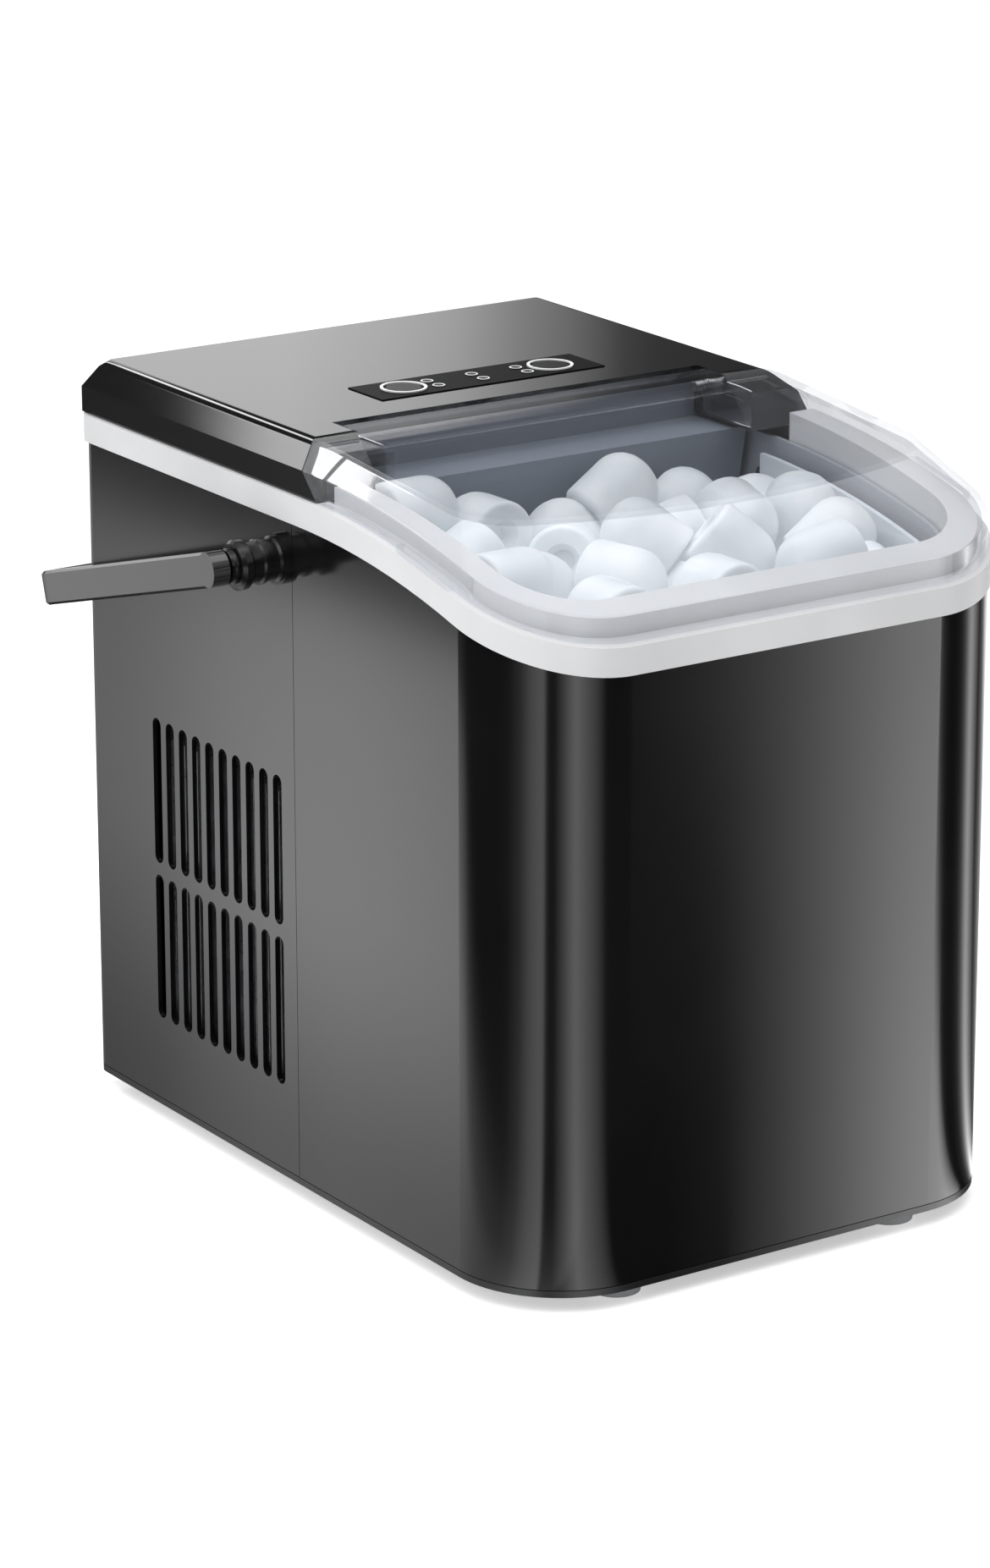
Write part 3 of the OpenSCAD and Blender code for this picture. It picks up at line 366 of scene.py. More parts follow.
@dataclass(frozen=True)
class ClearMoulding:
    """Clear plastic: light goes straight through and the edges turn milky.

    The shine is held lower on the inner side of each wall, where total reflection would hide what lies behind.
    """

    name: str
    tint: Colour
    edge: Colour = (0.8, 0.84, 0.9)
    gloss: float = 0.03
    haze: float = 0.004
    haze_scale: float = 30.0
    rim: float = 0.5
    rim_blend: float = 0.3
    rim_falloff: float = 14.0
    refraction: float = 1.3
    shine: float = 0.5
    inner_shine: float = 0.22

    def material(self) -> bpy.types.Material:
        """Build the clear plastic.

        Returns:
            Its material.
        """
        graph = Graph(self.name)
        haze = graph.noise(self.haze_scale)
        clear = graph.node("ShaderNodeBsdfTransparent", None, {"Color": (*self.tint, 1.0)})
        milk = graph.node("ShaderNodeBsdfDiffuse", None, {"Color": (*self.edge, 1.0)})
        shine = graph.node("ShaderNodeBsdfGlossy", None, {"Color": (1, 1, 1, 1), "Roughness": self.gloss})
        facing = graph.node("ShaderNodeLayerWeight", None, {"Blend": self.rim_blend}, "Facing")
        cloud = haze.span(0.3, 0.7, 0.6 * self.haze, 1.4 * self.haze)
        milkiness = facing.power(self.rim_falloff) * self.rim + cloud
        body = graph.node("ShaderNodeMixShader", None, {0: milkiness, 1: clear, 2: milk})
        fresnel = graph.node("ShaderNodeFresnel", None, {"IOR": self.refraction})
        inside = graph.node("ShaderNodeNewGeometry", out="Backfacing")
        share = fresnel * inside.span(0.0, 1.0, self.shine, self.inner_shine)
        return graph.close(graph.node("ShaderNodeMixShader", None, {0: share, 1: body, 2: shine}))


@dataclass(frozen=True)
class Ice:
    """Cloudy machine ice: a wet skin over a frosted white core that light soaks through, with a painted glow that
    lifts its brightness.
    """

    name: str
    clear_part: Colour = (0.6, 0.635, 0.66)
    frosted_part: Colour = (0.7, 0.715, 0.73)
    # painted glow: an even emission that brightens the ice as if lit, though ice gives no light
    painted_glow_colour: Colour = (0.94, 0.97, 1.0)
    painted_glow_strength: float = 0.14
    cloud_scale: float = 60.0
    ripple_scale: float = 160.0
    ripple_height: float = 0.8 * MM
    refraction: float = 1.31
    depth: float = 5.0 * MM

    def material(self) -> bpy.types.Material:
        """Build the ice.

        Returns:
            Its material.
        """
        graph = Graph(self.name)
        cloud = graph.noise(self.cloud_scale, 4.0)
        ripple = graph.noise(self.ripple_scale, 3.0)
        return graph.principled({
            "Base Color": graph.blend(cloud.span(0.3, 0.7), self.clear_part, self.frosted_part),
            # painted glow: the emission lightens every bullet, standing in for light
            "Emission Color": (*self.painted_glow_colour, 1.0), "Emission Strength": self.painted_glow_strength,
            "Roughness": cloud.span(0.3, 0.7, 0.3, 0.5),
            "IOR": self.refraction, "Transmission Weight": 0.1,
            "Subsurface Weight": 0.6, "Subsurface Radius": (1.0, 1.0, 1.0), "Subsurface Scale": self.depth,
            "Coat Weight": 0.2, "Coat Roughness": 0.12,
            "Normal": graph.bump(ripple, 0.2, self.ripple_height)})


class Finish(Enum):
    """Finishes of the machine's pieces."""

    CASING = Lacquer("casing_lacquer", (0.004, 0.004, 0.0045), 0.14, coat=0.0, peel=0.002)
    COVER = Lacquer("cover_gloss", (0.005, 0.005, 0.0055), 0.08, coat=0.0, peel=0.002)
    ENAMEL = Lacquer("compressor_enamel", (0.009, 0.009, 0.01), 0.3, coat=0.2, peel=0.05)
    PANEL = Moulding("panel_film", (0.007, 0.0073, 0.0078), 0.4, 0.03, 1800.0, refraction=1.08)
    KEY = Moulding("key_black", (0.005, 0.0052, 0.0058), 0.2, 0.02, 1800.0, refraction=1.1)
    LENS = Moulding("indicator_lens", (0.010, 0.0105, 0.011), 0.2, 0.02, refraction=1.1)
    PRINT = Moulding("ring_print", (0.86, 0.865, 0.87), 0.45, 0.02)
    FRAME = Moulding("frame_white", (0.66, 0.665, 0.675), 0.38, 0.05, glow=0.05)
    BASE = Moulding("base_black", (0.011, 0.0115, 0.013), 0.45)
    HUB = Moulding("hub_black", (0.006, 0.006, 0.0065), 0.2, 0.02, specular=0.4)
    HANDLE = Moulding("handle_gloss", (0.014, 0.0143, 0.015), 0.12, 0.01, specular=0.72)
    FOOT = Moulding("foot_rubber", (0.33, 0.34, 0.345), 0.5, 0.2, coat=0.2)
    RUBBER = Moulding("soft_black", (0.018, 0.018, 0.019), 0.6, 0.3)
    LINER = Moulding("liner_grey", (0.24, 0.265, 0.31), 0.42, 0.06)
    TANK = Moulding("tank_grey", (0.36, 0.38, 0.42), 0.42, 0.06)
    BASKET = Moulding("basket_white", (0.70, 0.74, 0.78), 0.3, 0.04, coat=0.2, glow=0.1)
    SENSOR = Moulding("sensor_window", (0.02, 0.015, 0.02), 0.1, 0.02, coat=0.8)
    BOARD = Moulding("board_green", (0.01, 0.11, 0.035), 0.35, 0.1)
    FOAM = Moulding("foam_white", (0.82, 0.80, 0.74), 0.85, 0.6, 300.0)
    PUMP = Moulding("pump_body", (0.035, 0.038, 0.043), 0.45)
    HOSE = Moulding("hose_silicone", (0.62, 0.66, 0.70), 0.35, 0.05, coat=0.1, glow=0.3)
    FAN = Moulding("fan_black", (0.05, 0.052, 0.056), 0.4)
    STEEL = Metal("turned_steel", (0.55, 0.56, 0.58), 0.3)
    SCREW = Metal("blackened_screw", (0.05, 0.05, 0.055), 0.4)
    ZINC = Metal("zinc_plate", (0.60, 0.61, 0.60), 0.38)
    COPPER = Metal("copper_pipe", (0.78, 0.38, 0.22), 0.28)
    FINS = Metal("fin_aluminium", (0.66, 0.67, 0.69), 0.35)
    LID = ClearMoulding("lid_clear", (0.965, 0.97, 0.98))
    ICE = Ice("bullet_ice")

    def get(self) -> bpy.types.Material:
        """Return the finish's material, made once."""
        made = bpy.data.materials.get(self.value.name)
        return made or self.value.material()


DRESS: dict[Finish, tuple[str, ...]] = {
    Finish.CASING: ("front_wrap", "rear_shell"),
    Finish.COVER: ("top_cover",),
    Finish.PANEL: ("control_overlay",),
    Finish.KEY: ("power_button", "select_button"),
    Finish.FRAME: ("top_frame", "drain_spout"),
    Finish.BASE: ("base_tray",),
    Finish.HUB: ("handle_bosses", "handle_bushes", "handle_collars"),
    Finish.HANDLE: ("carry_handle",),
    Finish.FOOT: ("feet",),
    Finish.RUBBER: ("cord_gland", "drain_cap", "compressor_grommets"),
    Finish.LINER: ("evaporator_cover",),
    Finish.TANK: ("tank",),
    Finish.BASKET: ("ice_basket", "water_tray", "ice_shovel"),
    Finish.SENSOR: ("ice_sensors",),
    Finish.LENS: ("indicator_lenses",),
    Finish.BOARD: ("control_board", "power_board"),
    Finish.FOAM: ("tank_insulation",),
    Finish.PUMP: ("water_pump", "fan_shroud"),
    Finish.HOSE: ("pump_hose",),
    Finish.FAN: ("fan_rotor",),
    Finish.ENAMEL: ("compressor",),
    Finish.PRINT: ("button_rings",),
    Finish.STEEL: ("hinge_pins", "pivot_pins", "fan_shaft", "level_probes"),
    Finish.SCREW: ("rear_screws",),
    Finish.ZINC: ("tray_motor", "fan_motor", "compressor_bolts", "solenoid_valve"),
    Finish.COPPER: ("evaporator", "refrigerant_tubes", "filter_drier"),
    Finish.FINS: ("condenser",),
    Finish.LID: ("lid",),
}


# ---------------------------------------------------------------------------------------------------------
# Modelling helpers


def deselect() -> None:
    """Leave object mode with nothing selected."""
    if bpy.context.object and bpy.context.object.mode != "OBJECT":
        bpy.ops.object.mode_set(mode="OBJECT")
    bpy.ops.object.select_all(action="DESELECT")


def take(piece: bpy.types.Object) -> None:
    """Select one object and make it active.

    Args:
        piece: The object.
    """
    deselect()
    piece.select_set(True)
    bpy.context.view_layer.objects.active = piece


def settle(piece: bpy.types.Object, keep_place: bool = False) -> None:
    """Put a piece's size, place and turn into its mesh.

    Args:
        piece: The object.
        keep_place: True to leave its place and turn on the object.
    """
    take(piece)
    bpy.ops.object.transform_apply(location=not keep_place, rotation=not keep_place, scale=True)


def join(pieces: list[bpy.types.Object]) -> None:
    """Join pieces into the first one and leave it active.

    Args:
        pieces: The pieces, in the order in which they join.
    """
    deselect()
    for piece in pieces:
        piece.select_set(True)
    bpy.context.view_layer.objects.active = pieces[0]
    bpy.ops.object.join()


def finish_piece(piece: bpy.types.Object, name: str, body: str, slot: str, finish: Finish) -> None:
    """Name a piece, give it its finish and let it ride.

    Args:
        piece: The modelled object.
        name: Its name.
        body: The body that carries it.
        slot: Name of a material slot; not used.
        finish: Its finish.
    """
    piece.name = name
    piece.data.name = name
    piece.data.materials.clear()
    piece.data.materials.append(finish.get())
    settle(piece)
    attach(piece, body)
    LOG.info("%s rides on %s", name, body)


# ---------------------------------------------------------------------------------------------------------
# Studio


@dataclass(frozen=True)
class Fan:
    """Light that changes with the bearing from a point on the floor, as on a graded reflector card.

    Each stop is a bearing in degrees, counted from x towards y, and the brightness there.
    """

    apex: tuple[float, float]
    stops: Stops

    def shine(self, graph: Graph, across: Signal, along: Signal) -> Signal:
        """Return the brightness at a place.

        Args:
            graph: The card's graph.
            across: The place's x.
            along: The place's y.

        Returns:
            The brightness.
        """
        first, last = self.stops[0][0], self.stops[-1][0]
        peak = max(light for _, light in self.stops)
        middle = math.radians((first + last) / 2)
        right, ahead = across - self.apex[0], along - self.apex[1]
        turned = (ahead * math.cos(middle) - right * math.sin(middle)).bearing(
            right * math.cos(middle) + ahead * math.sin(middle))
        share = turned / (last - first) + 0.5
        stops = [((angle - first) / (last - first), (light / peak,) * 3) for angle, light in self.stops]
        return graph.node("ShaderNodeValToRGB", {"stops": stops}, {0: share}) * peak


@dataclass
class Card:
    """A graded reflector card, seen only in the gloss of what stands before it."""

    name: str
    place: Vec3
    width: float
    height: float
    upright: bool = False

    def build(self, shine: Callable[[Graph, Signal, Signal, Signal], Signal]) -> None:
        """Stand the card up and light it.

        Args:
            shine: Gives the brightness from the place's x, y and z.
        """
        deselect()
        turn = (math.radians(90.0) if self.upright else 0.0, 0.0, 0.0)
        bpy.ops.mesh.primitive_plane_add(size=1.0, location=self.place, rotation=turn)
        card = bpy.context.object
        card.name = self.name
        card.scale = (self.width, self.height, 1.0)
        settle(card)
        graph = Graph(self.name)
        light = graph.node("ShaderNodeEmission", None, {"Color": shine(graph, *graph.axes())})
        card.data.materials.append(graph.close(light))
        card.visible_camera = card.visible_diffuse = card.visible_shadow = False
        card.visible_transmission = card.visible_volume_scatter = False


@dataclass
class Panel:
    """One soft rectangular light."""

    name: str
    place: Vec3
    aim: Vec3
    width: float
    height: float
    power: float

    def build(self) -> None:
        """Add the light and turn it to its aim."""
        bpy.ops.object.light_add(type="AREA", location=self.place)
        lamp = bpy.context.object
        lamp.name = self.name
        lamp.data.shape = "RECTANGLE"
        lamp.data.size = self.width
        lamp.data.size_y = self.height
        lamp.data.energy = self.power
        lamp.rotation_euler = (Vector(self.aim) - Vector(self.place)).to_track_quat("-Z", "Y").to_euler()


@dataclass
class Studio:
    """Pale floor, soft lights, graded reflector cards and the camera.

    face_x and face_y are the planes of the left side and the front; corner_x and corner_y are the middle of each
    rounded front corner.
    """

    floor_size: float = 16.0
    floor_tone: float = 0.86
    floor_glow: float = 0.5
    floor_card_place: Vec3 = (0.0, 0.0, -1.0 * MM)
    rear_card_place: Vec3 = (0.4, 1.2, 0.85)
    rear_card_size: tuple[float, float] = (3.6, 1.1)
    card_base: float = 0.02
    room_tones: Stops = ((0.0, 0.04), (0.3, 0.08), (0.5, 0.5), (0.8, 0.9))
    face_x: float = -0.1095
    face_y: float = -0.1593
    face_edge: float = 6.0 * MM
    corner_x: float = 0.0667
    corner_y: float = -0.1165
    side_stops: Stops = (
        (119.0, 0.95), (120.0, 1.2), (120.5, 1.65), (121.1, 2.0), (122.0, 2.2), (123.2, 1.95), (124.2, 1.5),
        (125.0, 0.7), (126.5, 0.2), (128.0, 0.0))
    front_stops: Stops = (
        (-54.4, 0.0), (-53.7, 0.1), (-53.1, 0.8), (-52.5, 1.8), (-51.9, 3.3), (-51.4, 4.6), (-50.8, 4.6), (-50.2, 0.0))
    left_stops: Stops = (
        (-182.0, 0.0), (-173.0, 0.05), (-161.6, 0.4), (-151.6, 1.3), (-140.0, 2.0), (-138.0, 0.0), (-130.0, 0.0),
        (-121.6, 1.0), (-111.6, 2.6), (-102.6, 1.7), (-91.6, 0.8), (-83.6, 0.0))
    right_stops: Stops = (
        (-34.0, 0.0), (-25.0, 0.1), (-19.0, 0.5), (-9.4, 2.8), (-1.0, 1.0), (8.0, 0.03), (18.6, 0.3), (30.0, 0.6),
        (60.0, 0.0))
    top_stops: Stops = (
        (53.6, 0.02), (54.5, 0.045), (54.9, 0.1), (55.5, 0.41), (56.0, 0.62), (56.7, 1.05), (57.3, 1.25), (58.5, 1.5))
    camera_place: Vec3 = (-1.0985, -1.6208, 0.7557)
    camera_aim: Vec3 = (-0.1994, -0.2739, 0.2462)
    camera_roll: float = math.radians(-0.07)
    camera_reach: float = 60.0
    lens: float = 83.8899
    sensor: float = 24.0
    panels: list[Panel] = field(default_factory=lambda: [
        Panel("overhead", (-0.3, -0.2, 2.4), (0.0, 0.0, 0.1), 3.0, 3.0, 48.0),
        Panel("left_wall", (-2.4, 0.3, 1.3), (0.0, 0.0, 0.2), 2.2, 1.4, 20.0),
    ])

    def build(self) -> None:
        """Build the floor, the room, the lights and the camera."""
        deselect()
        self._floor()
        self._room()
        Card("floor_card", self.floor_card_place, self.floor_size, self.floor_size).build(self._floor_shine)
        Card("rear_card", self.rear_card_place, *self.rear_card_size, upright=True).build(self._rear_shine)
        for panel in self.panels:
            panel.build()
        self._camera()
        bpy.context.scene.view_settings.view_transform = "Standard"

    def _floor(self) -> None:
        """Lay the pale floor."""
        bpy.ops.mesh.primitive_plane_add(size=self.floor_size, location=(0.0, 0.0, 0.0))
        floor = bpy.context.object
        floor.name = "floor"
        graph = Graph("floor_white")
        mottle = graph.noise(3.0, 2.0)
        tone = self.floor_tone
        floor.data.materials.append(graph.principled({
            "Base Color": graph.blend(mottle.span(0.3, 0.7), (tone,) * 3, (tone * 1.01,) * 3),
            "Roughness": 0.2, "Specular IOR Level": 0.4,
            "Emission Color": (1.0, 1.0, 1.0, 1.0), "Emission Strength": self.floor_glow}))
        floor.visible_glossy = False

    def _floor_shine(self, graph: Graph, across: Signal, along: Signal, _up: Signal) -> Signal:
        """Grade what the upright faces show of the floor.

        Each flat face has a fan about the mirror image of the camera's place in that face, and each front corner
        has one about its own middle.

        Args:
            graph: The card's graph.
            across: The place's x.
            along: The place's y.

        Returns:
            The brightness.
        """
        camera_x, camera_y, _ = self.camera_place
        side = Fan((2 * self.face_x - camera_x, camera_y), self.side_stops).shine(graph, across, along)
        front = Fan((camera_x, 2 * self.face_y - camera_y), self.front_stops).shine(graph, across, along)
        left = Fan((-self.corner_x, self.corner_y), self.left_stops).shine(graph, across, along)
        right = Fan((self.corner_x, self.corner_y), self.right_stops).shine(graph, across, along)
        beside = across.span(self.face_x, self.face_x + self.face_edge, 1.0, 0.0)
        fade_upward = across.span(-0.32, self.face_x, 1.05, 0.48)
        dark_under_frame = across.span(-0.576, -0.556, 0.08, 1.0)
        before = along.span(self.face_y, self.face_y + self.face_edge, 1.0, 0.0)
        behind = along.span(0.12, 0.3) * across.span(-0.05, 0.1) * 0.8
        return side * beside * fade_upward * dark_under_frame + front * before + left + right + behind + self.card_base

    def _rear_shine(self, graph: Graph, across: Signal, along: Signal, up: Signal) -> Signal:
        """Grade what the cover shows: the level top, the long chamfer and the lines along its rounded edges.

        Args:
            graph: The card's graph.
            across: The place's x.
            along: The place's y.
            up: The place's z.

        Returns:
            The brightness.
        """
        level_top = Fan(self.camera_place[:2], self.top_stops).shine(graph, across, along)
        level_top = level_top * up.span(0.80, 0.84, 1.0, 0.0)
        chamfer = self._patch(across, -0.52, -0.16, 0.04) * up.span(0.978, 1.062, 0.0, 5.0)
        upper_line = self._patch(across, 0.15, 0.29, 0.03) * up.span(0.84, 0.88, 0.0, 6.0)
        lower_line = self._patch(across, -0.95, -0.67, 0.05) * up.span(0.46, 0.5, 0.0, 4.0)
        lower_line = lower_line * up.span(0.66, 0.7, 1.0, 0.0)
        return level_top + chamfer + upper_line + lower_line + 2 * self.card_base

    @staticmethod
    def _patch(across: Signal, left: float, right: float, border: float) -> Signal:
        """Return 1 between two upright lines of a card and 0 outside them.

        Args:
            across: The place's x.
            left: Outer end of the left border.
            right: Outer end of the right border.
            border: Width of each soft border.

        Returns:
            The share of light.
        """
        return across.span(left, left + border) * across.span(right - border, right, 1.0, 0.0)

    def _room(self) -> None:
        """Fill the room with light that grows from the horizon upward."""
        graph = Graph("studio", room=True)
        direction = graph.node("ShaderNodeTexCoord", out="Generated")
        height = graph.node("ShaderNodeSeparateXYZ", None, {0: direction}, "Z")
        stops = [(place, (light,) * 3) for place, light in self.room_tones]
        tone = graph.node("ShaderNodeValToRGB", {"stops": stops}, {0: height})
        bpy.context.scene.world = graph.close(graph.node("ShaderNodeBackground", None, {"Color": tone}))

    def _camera(self) -> None:
        """Set the camera at the product shot's angle."""
        bpy.ops.object.camera_add(location=self.camera_place)
        camera = bpy.context.object
        camera.name = "camera"
        turn = (Vector(self.camera_aim) - Vector(self.camera_place)).to_track_quat("-Z", "Y")
        camera.rotation_euler = (turn @ Quaternion((0.0, 0.0, 1.0), self.camera_roll)).to_euler()
        camera.data.sensor_fit = "VERTICAL"
        camera.data.sensor_height = self.sensor
        camera.data.lens = self.lens
        camera.data.clip_end = self.camera_reach
        bpy.context.scene.camera = camera


# ---------------------------------------------------------------------------------------------------------
# Machine


@dataclass
class Machine:
    """The carried-over CAD nodes."""

    def dress(self) -> None:
        """Give every CAD node its finish."""
        for finish, nodes in DRESS.items():
            for node in nodes:
                piece = bpy.data.objects[node]
                piece.data.materials.clear()
                piece.data.materials.append(finish.get())
                LOG.info("%s: %s", node, finish.value.name)


@dataclass
class Rounded:
    """A moulded or pressed piece whose sharp edges are broken by a small radius."""

    node: str
    finish: Finish
    body: str
    slot: str
    radius: float
    segments: int = 2
    corner: float = math.radians(28.0)
    flat: float = math.radians(0.6)
    smooth: float = math.radians(24.0)
    weld: float = 0.02 * MM

    def build(self) -> None:
        """Copy the CAD piece, merge its facets, round its edges and let the copy stand for it."""
        source = bpy.data.objects[self.node]
        deselect()
        piece = source.copy()
        piece.data = source.data.copy()
        piece.parent = None
        bpy.context.collection.objects.link(piece)
        piece.hide_render = False
        take(piece)
        bpy.ops.mesh.customdata_custom_splitnormals_clear()
        bpy.ops.object.mode_set(mode="EDIT")
        bpy.ops.mesh.select_all(action="SELECT")
        bpy.ops.mesh.remove_doubles(threshold=self.weld)
        bpy.ops.mesh.dissolve_limited(angle_limit=self.flat)
        bpy.ops.object.mode_set(mode="OBJECT")
        self.prepare(piece)
        take(piece)
        rounding = piece.modifiers.new("rounding", "BEVEL")
        rounding.limit_method = "ANGLE"
        rounding.angle_limit = self.corner
        rounding.width = self.radius
        rounding.segments = self.segments
        rounding.use_clamp_overlap = True
        bpy.ops.object.modifier_apply(modifier="rounding")
        bpy.ops.object.shade_smooth_by_angle(angle=self.smooth)
        level = piece.modifiers.new("level", "WEIGHTED_NORMAL")
        level.keep_sharp = True
        level.weight = 100
        bpy.ops.object.modifier_apply(modifier="level")
        finish_piece(piece, f"{self.node}_rounded", self.body, self.slot, self.finish)
        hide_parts(self.node)

    def prepare(self, piece: bpy.types.Object) -> None:
        """Shape the merged copy before its edges are rounded; a plain piece needs nothing.

        Args:
            piece: The merged copy.
        """


@dataclass
class Cover(Rounded):
    """The top cover: its long upper edges have a wide radius, and the hinge bores end blind in its sides."""

    edge_radius: float = 3.0 * MM
    edge_segments: int = 6
    level_tilt: float = 0.999
    slope_tilts: tuple[float, float] = (0.3, 0.95)
    bore_clearance: float = 0.6 * MM

    def prepare(self, piece: bpy.types.Object) -> None:
        """Close the hinge bores and round the long edges between the level top and its slopes.

        Args:
            piece: The merged copy.
        """
        self._close_bores(piece)
        mesh = bmesh.new()
        mesh.from_mesh(piece.data)
        weight = mesh.edges.layers.float.new("bevel_weight_edge")
        for edge in mesh.edges:
            tilts = sorted(face.normal.z for face in edge.link_faces)
            between = len(tilts) == 2 and tilts[1] > self.level_tilt
            edge[weight] = float(between and self.slope_tilts[0] < tilts[0] < self.slope_tilts[1])
        mesh.to_mesh(piece.data)
        mesh.free()
        take(piece)
        rounding = piece.modifiers.new("long_edges", "BEVEL")
        rounding.limit_method = "WEIGHT"
        rounding.width = self.edge_radius
        rounding.segments = self.edge_segments
        bpy.ops.object.modifier_apply(modifier="long_edges")

    def _close_bores(self, piece: bpy.types.Object) -> None:
        """Take out the walls of the two hinge bores and close what they leave.

        Args:
            piece: The merged copy.
        """
        low, high = (Vector(c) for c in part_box("hinge_pins"))
        axis = (low + high) / 2
        reach = (high.z - low.z) / 2 + self.bore_clearance
        take(piece)
        bpy.ops.object.mode_set(mode="EDIT")
        bpy.ops.mesh.select_all(action="DESELECT")
        mesh = bmesh.from_edit_mesh(piece.data)
        for face in mesh.faces:
            face.select = all((corner.co.yz - axis.yz).length < reach for corner in face.verts)
        bmesh.update_edit_mesh(piece.data)
        bpy.ops.mesh.delete(type="FACE")
        bpy.ops.mesh.select_all(action="SELECT")
        bpy.ops.mesh.fill_holes(sides=0)
        bpy.ops.object.mode_set(mode="OBJECT")


@dataclass
class IndicatorRims:
    """The bright outlines printed round the indicator lenses."""

    radius: float = 2.15 * MM
    line: float = 0.3 * MM
    flatness: float = 0.3
    reach: float = 5.0 * MM
    steps: tuple[int, int] = (40, 10)

    def build(self) -> None:
        """Lay one flat ring round each lens and join them."""
        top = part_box("indicator_lenses")[1][2]
        rings = []
        for centre in self._centres():
            deselect()
            bpy.ops.mesh.primitive_torus_add(location=(*centre, top), major_radius=self.radius,
                                             minor_radius=self.line, major_segments=self.steps[0],
                                             minor_segments=self.steps[1])
            bpy.context.object.scale.z = self.flatness
            settle(bpy.context.object)
            rings.append(bpy.context.object)
        join(rings)
        bpy.ops.object.shade_smooth()
        finish_piece(bpy.context.object, "indicator_rims", "machine", "white_plastic", Finish.PRINT)

    def _centres(self) -> list[tuple[float, float]]:
        """Find the middle of each lens from the CAD piece.

        Returns:
            The x and y of each lens.
        """
        groups: list[list[Vector]] = []
        for corner in bpy.data.objects["indicator_lenses"].data.vertices:
            spot = corner.co.xy
            near = next((group for group in groups if (group[0] - spot).length < self.reach), None)
            if near is None:
                near = []
                groups.append(near)
            near.append(spot.copy())
        return [tuple((min(axis) + max(axis)) / 2 for axis in zip(*group)) for group in groups]


